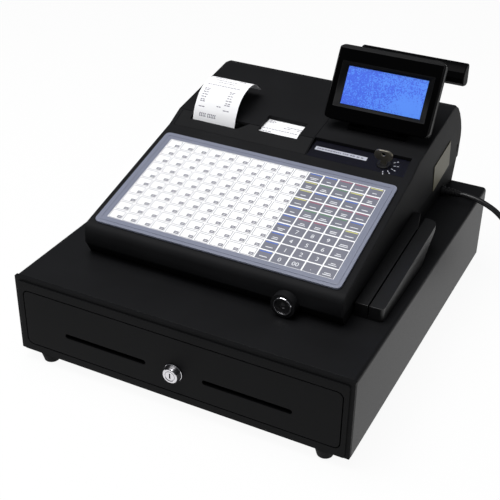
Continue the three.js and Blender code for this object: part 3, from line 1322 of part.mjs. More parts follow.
// Two layers of turns: in along the surface, up a layer in half a turn, and out again on top
function coilPoints() {
  const { centreX, centreY, turnsPerLayer, pitch, layerRise, stepsPerTurn, tail } = coil;
  const points = [];
  points.push([centreX - cord.diameter, centreY - coilOuter, coilLevel]);
  const turns = 2 * turnsPerLayer;
  const steps = turns * stepsPerTurn;
  const climbHalf = 0.25;
  for (let i = 0; i <= steps; i += 1) {
    const turn = i / stepsPerTurn;
    const inward = Math.min(turn, turns - turn);
    const radius = coilOuter - inward * pitch;
    const climb = Math.min(Math.max((turn - turnsPerLayer + climbHalf) / (2 * climbHalf), 0), 1);
    const angle = coilStart + 2 * Math.PI * turn;
    points.push([
      centreX + radius * Math.cos(angle), centreY + radius * Math.sin(angle),
      coilLevel + layerRise * (1 - Math.cos(Math.PI * climb)) / 2,
    ]);
  }
  points.push([centreX + tail / 2, centreY - coilOuter, coilLevel + layerRise]);
  points.push([centreX + tail, centreY - coilOuter, coilLevel + layerRise]);
  return points.map(([x, y, z]) => new THREE.Vector3(x, y, z));
}

// Least distance between the tube's surface and itself, for points more than half a turn apart
function leastGap(points, radius, apart) {
  let least = Infinity;
  for (let i = 0; i < points.length; i += 1) {
    for (let j = i + apart; j < points.length; j += 1) {
      least = Math.min(least, points[i].distanceTo(points[j]) - 2 * radius);
    }
  }
  return least;
}

function makeCoil() {
  const points = coilPoints();
  const curve = new THREE.CatmullRomCurve3(points, false, 'centripetal');
  const steps = 2 * coil.turnsPerLayer * coil.stepsPerTurn;
  const dense = curve.getSpacedPoints(4 * steps);
  console.log('coil: length', curve.getLength().toFixed(0), 'least gap',
    leastGap(dense, cordRadius, 2 * coil.stepsPerTurn).toFixed(2));
  const solid = tube(points, cordRadius, coil.sides, steps + 2);
  return piece('cord_coil', solid, colours.rubber, 0.6);
}

// The tie goes round the bundle of turns on the coil's far side
function makeTie() {
  const { width: w, thickness, gap } = tie;
  const inner = coil.inner - cordRadius - gap;
  const outer = coilOuter + cordRadius + gap;
  const low = tableLevel + coil.lift - gap;
  const high = coilLevel + coil.layerRise + cordRadius + gap;
  const corner = cordRadius / 2;
  const band = prismX(roundedOutline(inner - thickness, outer + thickness, low - thickness + seat, high + thickness,
    corner + thickness), -w / 2, w / 2);
  const hole = prismX(roundedOutline(inner, outer, low + seat, high, corner), -w, w);
  const mesh = piece('cord_tie', cut(band, hole), colours.dark, 0.7);
  mesh.position.set(coil.centreX, coil.centreY, 0);
  return mesh;
}

function makePlug() {
  const { width: w, height, length, bladeLength, bladeWidth, bladeThickness, spread, pinRadius, pinLift, radius } = plug;
  const body = prismX(roundedOutline(-w / 2, w / 2, -height / 2, height / 2, radius), 0, length, 1.5);
  const bladeZ = -pinLift / 2;
  const blades = [-1, 1].map((s) => box(length - seat, length + bladeLength, s * spread / 2 - bladeThickness / 2,
    s * spread / 2 + bladeThickness / 2, bladeZ - bladeWidth / 2, bladeZ + bladeWidth / 2));
  const earth = cylinderX(length - seat, length + bladeLength, 0, pinLift, pinRadius, roundSteps / 2);
  const mesh = piece('power_plug', join([body, ...blades, earth]), colours.rubber, 0.6);
  mesh.position.set(coil.centreX + coil.tail + seat, coil.centreY - coilOuter, coilLevel + coil.layerRise);
  return mesh;
}

// Everything in place, with the origin under the middle of the object

function makeRegister() {
  const group = new THREE.Group();
  group.position.set(caseWidth / 2 - left - width / 2 - sideShift, 0, caseHeight);
  group.add(makePan(), makeTopHousing(), makeKeyboard(), makeControls());
  group.add(makeLipPanel(), makeCover(), makeReceipt(), makeJournalPaper(), makePrinterFrame());
  group.add(makeRoll('receipt_roll', receiptRoll, receiptRollZ, receiptMiddle));
  group.add(makeRoll('journal_roll', journalRoll, journalRollZ, sightMiddle));
  group.add(makeSpool());
  group.add(makePlaten('receipt_platen', frame.left, frame.divider + frame.wall / 2 - seat, receiptMiddle));
  group.add(makePlaten('journal_platen', frame.divider + frame.wall / 2 + seat, frame.right, sightMiddle));
  group.add(makeNeck(), makeScreen(), makePost(), ...makeCustomerHead());
  group.add(makeReaderInner(), makeReaderOuter(), ...makeKeyReader(), makeSidePlate(), makeBoard());
  group.add(makeRelief(), makeFreeCord(), makeCoil(), makeTie(), makePlug());
  return group;
}

function makeDrawer() {
  const group = new THREE.Group();
  group.add(makeDrawerFront(), makeTray(), makeRunner('runner_left', -1), makeRunner('runner_right', 1));
  group.add(makeTill(), makeClipRod(), makeLockBarrel(), makeLockPlug());
  for (let index = 0; index < till.bays; index += 1) {
    group.add(makeClip(index));
  }
  return group;
}

const root = new THREE.Group();
root.position.set(-caseWidth / 2, -(rearBulge - lock.proud) / 2, footing.height);
root.add(makeCase(), makeCaseBottom(), makeBezel());
root.add(makeRail('rail_left', -1), makeRail('rail_right', 1), makeSolenoid(), makeHook());
const footPlaces = [
  ['foot_front_left', footing.inset, footing.frontInset],
  ['foot_front_right', caseWidth - footing.inset, footing.frontInset],
  ['foot_rear_left', footing.inset, caseDepth - footing.frontInset],
  ['foot_rear_right', caseWidth - footing.inset, caseDepth - footing.frontInset],
];
for (const [name, x, y] of footPlaces) {
  root.add(makeFoot(name, x, y));
}
root.add(makeDrawer(), makeRegister());

export default root;
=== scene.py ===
import math
import random
import bpy
import bmesh
from mathutils import Matrix, Vector


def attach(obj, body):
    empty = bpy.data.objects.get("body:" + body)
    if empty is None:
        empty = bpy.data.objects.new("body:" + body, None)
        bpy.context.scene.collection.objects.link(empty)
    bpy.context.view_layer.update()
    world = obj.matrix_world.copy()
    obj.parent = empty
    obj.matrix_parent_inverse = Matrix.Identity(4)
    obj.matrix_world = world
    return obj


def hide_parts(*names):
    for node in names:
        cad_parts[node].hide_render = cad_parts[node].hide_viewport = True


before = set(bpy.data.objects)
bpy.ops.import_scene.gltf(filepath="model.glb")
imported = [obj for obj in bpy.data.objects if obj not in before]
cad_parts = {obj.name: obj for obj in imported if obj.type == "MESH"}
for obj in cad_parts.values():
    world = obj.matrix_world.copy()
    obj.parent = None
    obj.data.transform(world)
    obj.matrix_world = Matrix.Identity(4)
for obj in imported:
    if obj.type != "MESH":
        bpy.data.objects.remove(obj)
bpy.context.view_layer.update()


# Camera
# It stands in front of the register, a little to the right, and looks down on it through a lens of
# about 74 mm.

camera_data = bpy.data.cameras.new("camera")
camera_data.lens = 73.815
camera_data.sensor_width = 36.0
camera = bpy.data.objects.new("camera", camera_data)
camera.location = (0.45122592, -0.96723519, 0.73097084)
camera.rotation_euler = (1.0224755952, -0.0162610330, 0.4680961617)
bpy.context.scene.collection.objects.link(camera)
bpy.context.scene.camera = camera


# Mains lead
# A black PVC lead, 7 mm thick and about 1.8 m long: out of a ribbed rubber boot in the base's right side,
# over the edge of the drawer's case and down to the counter, where the spare length lies wound in a coil.
# A strap holds the turns, and the moulded plug lies beside them.

case_middle = 203.0
case_half_depth = 230.75
case_top = 112.0


def at(x, y, z):
    """A point in metres, from its millimetres right, behind and above the case's top front left corner."""
    return Vector(((x - case_middle) / 1000, (y - case_half_depth) / 1000, (z + case_top) / 1000))


def smooth_route(points, steps):
    """A curve through all the points, with the same number of short steps between each two."""
    ends = [points[0] * 2 - points[1]] + list(points) + [points[-1] * 2 - points[-2]]
    route = []
    for a, b, c, d in zip(ends, ends[1:], ends[2:], ends[3:]):
        t1 = (b - a).length ** 0.5
        t2 = t1 + (c - b).length ** 0.5
        t3 = t2 + (d - c).length ** 0.5
        for i in range(steps):
            t = t1 + (t2 - t1) * i / steps
            ab = a * ((t1 - t) / t1) + b * (t / t1)
            bc = b * ((t2 - t) / (t2 - t1)) + c * ((t - t1) / (t2 - t1))
            cd = c * ((t3 - t) / (t3 - t2)) + d * ((t - t2) / (t3 - t2))
            abc = ab * ((t2 - t) / t2) + bc * (t / t2)
            bcd = bc * ((t3 - t) / (t3 - t1)) + cd * ((t - t1) / (t3 - t1))
            route.append(abc * ((t2 - t) / (t2 - t1)) + bcd * ((t - t1) / (t2 - t1)))
    route.append(points[-1])
    return route


def finish_nodes(name):
    """A new material, with its shader and the object's own coordinates."""
    material = bpy.data.materials.new(name)
    material.use_nodes = True
    nodes = material.node_tree.nodes
    shader = nodes["Principled BSDF"]
    coordinates = nodes.new("ShaderNodeTexCoord")
    return material, nodes, material.node_tree.links, shader, coordinates.outputs["Object"]


def moulded(name, colour, roughness=0.6, specular=0.3, metallic=0.0, grain=0.25, grain_size=1400.0,
            tone=0.12, coat=0.0):
    """Plastic, rubber, paint or metal: a colour that drifts, over a fine grain that breaks its gloss."""
    gloss_spread = 0.08
    material, nodes, links, shader, place = finish_nodes(name)
    drift = nodes.new("ShaderNodeTexNoise")
    drift.inputs["Scale"].default_value = 18.0
    drift.inputs["Detail"].default_value = 5.0
    links.new(place, drift.inputs["Vector"])
    ramp = nodes.new("ShaderNodeValToRGB")
    low, high = ramp.color_ramp.elements
    low.position = 0.3
    high.position = 0.7
    low.color = [c * (1 - tone) for c in colour] + [1]
    high.color = [min(c * (1 + tone), 1) for c in colour] + [1]
    links.new(drift.outputs["Fac"], ramp.inputs["Fac"])
    links.new(ramp.outputs["Color"], shader.inputs["Base Color"])
    fine = nodes.new("ShaderNodeTexNoise")
    fine.inputs["Scale"].default_value = grain_size
    fine.inputs["Detail"].default_value = 2.0
    links.new(place, fine.inputs["Vector"])
    gloss = nodes.new("ShaderNodeMapRange")
    gloss.inputs["To Min"].default_value = max(roughness - gloss_spread, 0.02)
    gloss.inputs["To Max"].default_value = min(roughness + gloss_spread, 1.0)
    links.new(fine.outputs["Fac"], gloss.inputs["Value"])
    links.new(gloss.outputs["Result"], shader.inputs["Roughness"])
    bump = nodes.new("ShaderNodeBump")
    bump.inputs["Strength"].default_value = grain
    bump.inputs["Distance"].default_value = 0.0002
    links.new(fine.outputs["Fac"], bump.inputs["Height"])
    links.new(bump.outputs["Normal"], shader.inputs["Normal"])
    shader.inputs["Metallic"].default_value = metallic
    shader.inputs["Specular IOR Level"].default_value = specular
    shader.inputs["Coat Weight"].default_value = coat
    return material


def add_piece(name, mesh, body, materials):
    """Puts a finished mesh into the scene, riding on its body."""
    piece = bpy.data.objects.new(name, mesh)
    bpy.context.scene.collection.objects.link(piece)
    for material in materials:
        mesh.materials.append(material)
    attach(piece, body)
    return piece


def mesh_from(name, bm, smooth=None):
    """Turns a bmesh into a mesh with its doubles merged and its normals outwards, smooth below an angle."""
    bmesh.ops.remove_doubles(bm, verts=bm.verts, dist=1e-7)
    bmesh.ops.recalc_face_normals(bm, faces=bm.faces)
    mesh = bpy.data.meshes.new(name)
    bm.to_mesh(mesh)
    bm.free()
    if smooth is not None:
        mesh.shade_smooth()
        mesh.set_sharp_from_angle(angle=math.radians(smooth))
    return mesh


def add_made(name, bm, body, materials, smooth=None):
    """Puts a bmesh into the scene as a piece."""
    return add_piece(name, mesh_from(name, bm, smooth), body, materials)


def laid_over(place, about):
    """A frame at a place, with its height axis laid to the right, about Y, or to the front, about X."""
    return Matrix.Translation(place) @ Matrix.Rotation(math.pi / 2, 4, about)


def refinish(node, material):
    """Gives a CAD node its material."""
    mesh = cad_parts[node].data
    mesh.materials.clear()
    mesh.materials.append(material)


def spun(bm, profile, matrix, steps):
    """Adds a profile of radius and height, in metres, turned about its axis and put in place."""
    turned = bmesh.new()
    verts = [turned.verts.new((radius, 0, height)) for radius, height in profile]
    edges = [turned.edges.new(pair) for pair in zip(verts, verts[1:])]
    bmesh.ops.spin(turned, geom=verts + edges, cent=(0, 0, 0), axis=(0, 0, 1), angle=2 * math.pi,
                   steps=steps, use_merge=True)
    bmesh.ops.remove_doubles(turned, verts=turned.verts, dist=1e-6)
    bmesh.ops.transform(turned, matrix=matrix, verts=turned.verts)
    shape = bpy.data.meshes.new("turned")
    turned.to_mesh(shape)
    turned.free()
    bm.from_mesh(shape)
    bpy.data.meshes.remove(shape)


cord_diameter = 0.007
cord_start = 384.1
cord_depth = 410
cord_height = 6.6
coil_level = -107.4
coil_rise = 7.6
coil_pitch = 7.6
coil_outer = 52.3
coil_middle = (519.0, 426.0)
coil_near = coil_middle[1] - coil_outer
coil_turns = 6
turn_steps = 24
climb_start = 2.75
climb_turns = 0.5
run_points = [
    (cord_start, cord_depth, cord_height), (cord_start + 7, cord_depth, cord_height),
    (399, 410, 5.8), (407, 410, 4.5), (415, 410, 2.2),
    (423, 410, -1), (431, 410, -5.2), (439, 409, -10.6), (447, 408, -17.6), (454.5, 405, -27),
    (461, 401, -38), (466, 396, -50), (470, 390, -63), (473.5, 383.5, -76.5), (477.5, 377.5, -89.5),
    (483, 373.5, -101),
    (491, 372.6, -106.4), (504.7, 373.7, coil_level),
]
coil_points = [(coil_middle[0] - 7, coil_near, coil_level)]
for step in range(coil_turns * turn_steps + 1):
    turn = step / turn_steps
    radius = coil_outer - min(turn, coil_turns - turn) * coil_pitch
    climb = min(max((turn - climb_start) / climb_turns, 0), 1)
    angle = -math.pi / 2 + 2 * math.pi * turn
    coil_points.append((
        coil_middle[0] + radius * math.cos(angle), coil_middle[1] + radius * math.sin(angle),
        coil_level + coil_rise * (1 - math.cos(math.pi * climb)) / 2))
for past_coil in (22, 44):
    coil_points.append((coil_middle[0] + past_coil, coil_near, coil_level + coil_rise))
lead_route = smooth_route([at(*p) for p in run_points + coil_points], 3)

lead_curve = bpy.data.curves.new("mains_lead", "CURVE")
lead_curve.dimensions = "3D"
lead_curve.bevel_depth = cord_diameter / 2
lead_curve.bevel_resolution = 3
lead_curve.use_fill_caps = True
lead_line = lead_curve.splines.new("POLY")
lead_line.points.add(len(lead_route) - 1)
for point, place in zip(lead_line.points, lead_route):
    point.co = (*place, 1)
lead_black = moulded("lead_black", (0.009, 0.009, 0.010), roughness=0.34, specular=0.5,
                     grain=0.15, grain_size=900)
lead_curve.materials.append(lead_black)
mains_lead = bpy.data.objects.new("mains_lead", lead_curve)
bpy.context.scene.collection.objects.link(mains_lead)
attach(mains_lead, "base")
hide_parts("power_cord", "cord_coil")

boot_ribs = 5
boot_profile = [(0.0, -0.003), (0.0046, -0.003), (0.0046, 0.0), (0.0061, 0.0002), (0.0062, 0.0016),
                (0.0058, 0.002)]
for rib in range(boot_ribs):
    share = rib / boot_ribs
    radius = (5.6 - 1.2 * share) / 1000
    start = (2 + 22 * share) / 1000
    boot_profile += [(radius, start + 0.0002), (radius, start + 0.002), (radius - 0.0003, start + 0.0023),
                     (radius - 0.0008, start + 0.0026), (radius - 0.0008, start + 0.0042)]
boot_profile += [(0.0036, 0.0239), (0.0, 0.0239)]
boot_start = 359.8
boot_mesh = bmesh.new()
spun(boot_mesh, boot_profile, laid_over(at(boot_start, cord_depth, cord_height), "Y"), steps=40)
boot_black = moulded("boot_rubber", (0.008, 0.008, 0.009), roughness=0.6, specular=0.2, grain=0.3)
boot = add_made("strain_relief_boot", boot_mesh, "base", [boot_black], smooth=35)
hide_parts("strain_relief")

plug_start = 563.3
plug_frame = laid_over(at(plug_start, coil_near, coil_level + coil_rise), "Y")


def block(bm, low, high, matrix, round_edges=0.0, segments=1):
    """A box between two corners, in metres, with its edges rounded, then put in place."""
    made = bmesh.ops.create_cube(bm, size=1.0)
    verts = made["verts"]
    size = [b - a for a, b in zip(low, high)]
    middle = [(a + b) / 2 for a, b in zip(low, high)]
    bmesh.ops.scale(bm, vec=size, verts=verts)
    bmesh.ops.translate(bm, vec=middle, verts=verts)
    if round_edges:
        edges = list({e for v in verts for e in v.link_edges})
        rounded = bmesh.ops.bevel(bm, geom=edges, offset=round_edges, segments=segments, profile=0.5,
                                  affect="EDGES", material=-1)
        verts = list({v for f in rounded["faces"] for v in f.verts} | {v for v in verts if v.is_valid})
    bmesh.ops.transform(bm, matrix=matrix, verts=verts)


plug_mesh = bmesh.new()
block(plug_mesh, (-0.0117, -0.013, 0.0), (0.0117, 0.013, 0.038), plug_frame,
      round_edges=0.0035, segments=4)
grip_face = 0.0131
grip_pitch = 0.005
for grip in range(4):
    for side in (-1, 1):
        block(plug_mesh, (-0.008, side * grip_face - 0.0004, 0.007 + grip_pitch * grip),
              (0.008, side * grip_face + 0.0003, 0.0095 + grip_pitch * grip), plug_frame,
              round_edges=0.0003)
plug_body = add_made("power_plug_body", plug_mesh, "base", [boot_black], smooth=40)
blade_mesh = bmesh.new()
blade_offset = 0.00635
for side in (-1, 1):
    block(blade_mesh, (-0.0002, side * blade_offset - 0.0008, 0.0375),
          (0.0062, side * blade_offset + 0.0008, 0.054), plug_frame, round_edges=0.0004, segments=2)
spun(blade_mesh, [(0.0, 0.0375), (0.0024, 0.0375), (0.0024, 0.052), (0.0014, 0.054), (0.0, 0.054)],
     plug_frame @ Matrix.Translation((-0.006, 0, 0)), steps=24)
blade_steel = moulded("plated_blade", (0.6, 0.58, 0.52), roughness=0.28, metallic=1.0, grain=0.08, tone=0.05)
plug_blades = add_made("power_plug_blades", blade_mesh, "base", [blade_steel], smooth=35)
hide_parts("power_plug")

tie_fabric = moulded("strap_black", (0.018, 0.018, 0.02), roughness=0.9, specular=0.15,
                     grain=0.6, grain_size=700)
refinish("cord_tie", tie_fabric)


# Counter and lights
# A plain white counter under soft lamps: a broad one overhead, a weaker one from the right, and an even
# glow from all round. Where the counter is seen or mirrored, most of its white is its own light.

counter_mesh = bmesh.new()
bmesh.ops.create_grid(counter_mesh, x_segments=1, y_segments=1, size=6.0)
counter = bpy.data.objects.new("counter", mesh_from("counter", counter_mesh))
bpy.context.scene.collection.objects.link(counter)
counter_white, nodes, links, shader, _ = finish_nodes("counter_white")
shader.inputs["Base Color"].default_value = (0.93, 0.93, 0.93, 1)
shader.inputs["Roughness"].default_value = 0.9
shader.inputs["Specular IOR Level"].default_value = 0.1
glow = nodes.new("ShaderNodeEmission")
glow.inputs["Color"].default_value = (1, 1, 1, 1)
glow.inputs["Strength"].default_value = 1.0
rays = nodes.new("ShaderNodeLightPath")


def worked_out(nodes, operation, kind="ShaderNodeMath"):
    """A node that works a value out, set to its operation."""
    node = nodes.new(kind)
    node.operation = operation
    return node


seen = worked_out(nodes, "MAXIMUM")
links.new(rays.outputs["Is Camera Ray"], seen.inputs[0])
links.new(rays.outputs["Is Glossy Ray"], seen.inputs[1])
seen_through = worked_out(nodes, "MAXIMUM")
links.new(seen.outputs["Value"], seen_through.inputs[0])
links.new(rays.outputs["Is Transmission Ray"], seen_through.inputs[1])
shine = worked_out(nodes, "MULTIPLY")
shine.inputs[1].default_value = 0.94
links.new(seen_through.outputs["Value"], shine.inputs[0])
both = nodes.new("ShaderNodeMixShader")
links.new(shine.outputs["Value"], both.inputs["Fac"])
links.new(shader.outputs["BSDF"], both.inputs[1])
links.new(glow.outputs["Emission"], both.inputs[2])
links.new(both.outputs["Shader"], nodes["Material Output"].inputs["Surface"])
counter.data.materials.append(counter_white)

bpy.context.scene.view_settings.view_transform = "Standard"
world = bpy.data.worlds.new("studio")
world.use_nodes = True
world.node_tree.nodes["Background"].inputs["Color"].default_value = (0.9, 0.93, 1.0, 1)
world.node_tree.nodes["Background"].inputs["Strength"].default_value = 0.12
bpy.context.scene.world = world


def lamp(name, place, target, size, power):
    """A square soft lamp that faces a point."""
    data = bpy.data.lights.new(name, "AREA")
    data.shape = "SQUARE"
    data.size = size
    data.energy = power
    lit = bpy.data.objects.new(name, data)
    lit.location = place
    lit.rotation_euler = (Vector(target) - Vector(place)).to_track_quat("-Z", "Y").to_euler()
    bpy.context.scene.collection.objects.link(lit)


lamp("overhead_lamp", (-0.35, -0.4, 1.9), (0, 0, 0.15), 1.6, 45)
lamp("right_lamp", (1.7, 0.5, 0.9), (0, 0, 0.12), 1.2, 1.5)


# Drawer case
# Folded sheet steel painted a satin black, with a plastic frame round the drawer's mouth and a bottom
# that is screwed in. It stands on four moulded rubber feet.

def eased(node, body, material, rounding):
    """A copy of a CAD node with its flat faces made whole, its curves smooth and its edges rounded."""
    sharp_angle = 30
    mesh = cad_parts[node].data.copy()
    mesh.materials.clear()
    bm = bmesh.new()
    bm.from_mesh(mesh)
    bmesh.ops.remove_doubles(bm, verts=bm.verts, dist=3e-6)
    bmesh.ops.dissolve_limit(bm, angle_limit=math.radians(0.6), verts=bm.verts, edges=bm.edges,
                             use_dissolve_boundaries=False)
    room = 2.4 * rounding
    tight = {v for e in bm.edges if e.calc_length() < room for v in e.verts}
    sharp = [e for e in bm.edges if rounding and len(e.link_faces) == 2
             and e.calc_face_angle(0) > math.radians(sharp_angle) and not tight.intersection(e.verts)
             and all(f.calc_area() > room * e.calc_length() for f in e.link_faces)]
    bmesh.ops.bevel(bm, geom=sharp, offset=rounding, segments=2, profile=0.5, affect="EDGES",
                    clamp_overlap=True, material=-1)
    bm.to_mesh(mesh)
    bm.free()
    mesh.shade_smooth()
    mesh.set_sharp_from_angle(angle=math.radians(sharp_angle + 5))
    piece = add_piece(node + "_finished", mesh, body, [material])
    piece.modifiers.new("flat_faces", "WEIGHTED_NORMAL").keep_sharp = True
    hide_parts(node)
    return piece


case_paint = moulded("case_paint", (0.0062, 0.0063, 0.0070), roughness=0.42, specular=0.165,
                     grain=0.12, grain_size=1100)
bezel_plastic = moulded("bezel_plastic", (0.0036, 0.0037, 0.0042), roughness=0.6, specular=0.10, grain=0.35)
foot_rubber = moulded("foot_rubber", (0.0075, 0.0075, 0.008), roughness=0.75, specular=0.12, grain=0.4)
zinc_steel = moulded("zinc_steel", (0.46, 0.47, 0.49), roughness=0.35, metallic=1.0,
                     grain=0.1, grain_size=500, tone=0.15)
eased("drawer_case", "base", case_paint, rounding=0.0002)
eased("front_bezel", "base", bezel_plastic, rounding=0.0004)
refinish("drawer_bottom", case_paint)
for node in ("rail_left", "rail_right", "latch_solenoid", "latch_hook"):
    refinish(node, zinc_steel)
foot_profile = [(0.0, 0.0), (0.0082, 0.0), (0.0088, 0.0003), (0.009, 0.0009), (0.0113, 0.0093),
                (0.0119, 0.0112), (0.012, 0.0118), (0.012, 0.0137), (0.0, 0.0137)]
for side, x in (("left", 31), ("right", 375)):
    for end, y in (("front", 14), ("rear", 442)):
        foot_mesh = bmesh.new()
        spun(foot_mesh, foot_profile, Matrix.Translation(at(x, y, -case_top)), steps=48)
        foot = add_made(f"rubber_foot_{end}_{side}", foot_mesh, "base", [foot_rubber], smooth=40)
        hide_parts(f"foot_{end}_{side}")


# Drawer
# A moulded front with two slots for cheques and a key lock between them, screwed to a galvanised tray.
# The tray slides on steel runners.

front_plastic = moulded("drawer_front_plastic", (0.0032, 0.0033, 0.0038), roughness=0.58, specular=0.10,
                        grain=0.4)
eased("drawer_front", "drawer", front_plastic, rounding=0.0005)
galvanised = moulded("galvanised_sheet", (0.42, 0.44, 0.46), roughness=0.45, metallic=0.9,
                     grain=0.12, grain_size=260, tone=0.2)
refinish("drawer_tray", galvanised)
for node in ("runner_left", "runner_right"):
    refinish(node, zinc_steel)
lock_chrome = moulded("lock_chrome", (0.72, 0.71, 0.74), roughness=0.16, metallic=1.0, grain=0.05, tone=0.04)
lock_height = -60.3
lock_frame = laid_over(at(case_middle, 0, lock_height), "X")
lock_mesh = bmesh.new()
spun(lock_mesh, [(0.0059, -0.026), (0.008, -0.026), (0.008, 0.0003), (0.0106, 0.0003), (0.011, 0.0006),
                 (0.011, 0.0011), (0.0106, 0.0015), (0.0088, 0.0074), (0.0082, 0.0079), (0.0064, 0.008),
                 (0.0059, 0.0076), (0.0059, -0.026)], lock_frame, steps=72)
lock_ring = add_made("lock_ring", lock_mesh, "drawer", [lock_chrome], smooth=25)
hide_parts("drawer_lock_barrel")
eased("drawer_lock_plug", "lock_plug", lock_chrome, rounding=0.0002)


# Till insert
# One black moulding with five coin cups and five note bays, which lies in the drawer's tray.
# Sprung clips on a steel rod press the notes down.

till_plastic = moulded("till_plastic", (0.022, 0.022, 0.024), roughness=0.68, specular=0.25, grain=0.4)
eased("till_insert", "drawer", till_plastic, rounding=0.0)
refinish("clip_rod", zinc_steel)
clip_plastic = moulded("clip_plastic", (0.014, 0.014, 0.015), roughness=0.5, specular=0.35, grain=0.2)
for number in range(1, 6):
    eased(f"bill_clip_{number}", f"clip_{number}", clip_plastic, rounding=0.0003)


# Register housing
# Two mouldings in a black plastic with a fine eroded grain: a lower tray, and a shell that slopes down
# to the keyboard.

housing_plastic = moulded("housing_plastic", (0.0085, 0.0086, 0.0094), roughness=0.6, specular=0.08,
                          grain=0.45, grain_size=1600)
tray_plastic = moulded("tray_plastic", (0.0035, 0.0035, 0.004), roughness=0.7, specular=0.12, grain=0.4)
eased("top_housing", "base", housing_plastic, rounding=0.00035)
eased("base_housing", "base", tray_plastic, rounding=0.0)


# Keyboard
# A flat membrane keyboard: a printed sheet with 150 places under a clear cover with a raised border.
# Ten columns are blank white places for the user's own items. Five are grey, with coloured strips and a
# number pad.

deck_corner = at(52, 85, 40.4)
deck_tilt = math.radians(14.2)
deck = Matrix.Translation(deck_corner) @ Matrix.Rotation(deck_tilt, 4, "X")
cover_film = moulded("cover_film", (0.195, 0.21, 0.275), roughness=0.3, specular=0.5,
                     grain=0.06, tone=0.05, coat=0.2)
eased("keyboard_cover", "base", cover_film, rounding=0.0003)
refinish("key_plate", zinc_steel)

key_colours = {
    "key_white": (0.90, 0.90, 0.91), "key_line": (0.13, 0.125, 0.16), "key_grey": (0.165, 0.170, 0.210),
}
key_names = list(key_colours)
key_materials = [moulded(name, colour, roughness=0.38, specular=0.45, grain=0.05, tone=0.03)
                 for name, colour in key_colours.items()]
refinish("key_membrane", key_materials[0])
field_left, field_front, field_width, field_depth = 11.5, 10.5, 277.0, 149.0
columns, rows, white_columns = 15, 10, 10
key_wide = field_width / columns
key_deep = field_depth / rows
sheet_low, sheet_top = 0.00195, 0.00215
grey_gap = 0.0012
white_gap = 0.0013
corner_round = 0.0008
outline_width = 0.00055

keys = bmesh.new()
bmesh.ops.create_grid(keys, x_segments=columns, y_segments=rows, size=0.5)
bmesh.ops.scale(keys, vec=(field_width / 1000, field_depth / 1000, 1), verts=keys.verts)
field_middle = ((field_left + field_width / 2) / 1000, (field_front + field_depth / 2) / 1000, sheet_top)
bmesh.ops.translate(keys, vec=field_middle, verts=keys.verts)


def key_column(face):
    """Which column, from the left, a face of the key sheet lies in."""
    return int((face.calc_center_median().x * 1000 - field_left) / key_wide)


white_faces = [f for f in keys.faces if key_column(f) < white_columns]
grey_faces = [f for f in keys.faces if key_column(f) >= white_columns]
bmesh.ops.inset_individual(keys, faces=grey_faces, thickness=grey_gap)
for face in grey_faces:
    face.material_index = key_names.index("key_grey")
bmesh.ops.inset_individual(keys, faces=white_faces, thickness=white_gap)
corners = list({v for f in white_faces for v in f.verts})
bmesh.ops.bevel(keys, geom=corners, offset=corner_round, segments=4, profile=0.5, affect="VERTICES",
                material=-1)
most_square_points = 12
white_faces = [f for f in keys.faces if len(f.verts) > most_square_points]
before = set(keys.faces)
bmesh.ops.inset_individual(keys, faces=white_faces, thickness=outline_width)
for face in set(keys.faces) - before:
    face.material_index = key_names.index("key_line")
sheet = bmesh.ops.extrude_face_region(keys, geom=list(keys.faces))
under_verts = [v for v in sheet["geom"] if isinstance(v, bmesh.types.BMVert)]
bmesh.ops.translate(keys, vec=(0, 0, sheet_low - sheet_top), verts=under_verts)
bmesh.ops.transform(keys, matrix=deck, verts=keys.verts)
add_made("key_sheet_print", keys, "base", key_materials)

legend_white = moulded("legend_white", (0.80, 0.81, 0.84), roughness=0.45, grain=0.05, tone=0.03)
legend_grey = moulded("legend_grey", (0.19, 0.19, 0.22), roughness=0.45, grain=0.05, tone=0.03)
legend_pale = moulded("legend_pale", (0.50, 0.50, 0.54), roughness=0.45, grain=0.05, tone=0.03)
strip_colours = {
    "b": (0.09, 0.17, 0.55), "r": (0.36, 0.12, 0.18), "y": (0.60, 0.59, 0.20), "g": (0.12, 0.26, 0.14),
}
strip_materials = {letter: moulded("strip_" + letter, colour, roughness=0.45, grain=0.05, tone=0.03)
                   for letter, colour in strip_colours.items()}
strip_rows = ["bbrry", "yggyr", "ybbbr", "yrrrr", "bgggb", "brrgy", "b----", "b----", "b----", "b----"]
legend_low = sheet_top + 0.00001
legend_top = sheet_top + 0.00005
digit_size = 0.008


def flat_bar(bm, x0, x1, y0, y1, low=legend_low, top=legend_top):
    """A printed bar, in the keyboard's own millimetres."""
    block(bm, (x0 / 1000, y0 / 1000, low), (x1 / 1000, y1 / 1000, top), deck)


def flat_digits(name, places):
    """Joins printed digits into one bmesh: each is a text and its middle, in the keyboard's millimetres."""
    joined = bmesh.new()
    for text, x, y in places:
        curve = bpy.data.curves.new(name, "FONT")
        curve.body = text
        curve.size = digit_size
        curve.align_x = "CENTER"
        curve.align_y = "CENTER"
        curve.extrude = 0.00002
        written = bpy.data.objects.new(name, curve)
        bpy.context.scene.collection.objects.link(written)
        bpy.context.view_layer.update()
        shape = written.evaluated_get(bpy.context.evaluated_depsgraph_get()).to_mesh().copy()
        shape.transform(deck @ Matrix.Translation((x / 1000, y / 1000, legend_top)))
        joined.from_mesh(shape)
        bpy.data.objects.remove(written)
        bpy.data.meshes.remove(shape)
    return joined


key_margin = 2.1
pad_column = white_columns + 1
pad_rows = {6: "789", 7: "456", 8: "123", 9: ("0", "00", ".")}
digits = []
for row, text_row in pad_rows.items():
    for offset, text in enumerate(text_row):
        digits.append((text, field_left + (pad_column + 0.5 + offset) * key_wide,
                       field_front + (rows - row - 0.56) * key_deep))
add_made("number_pad_digits", flat_digits("number_pad_digits", digits), "base", [legend_white])

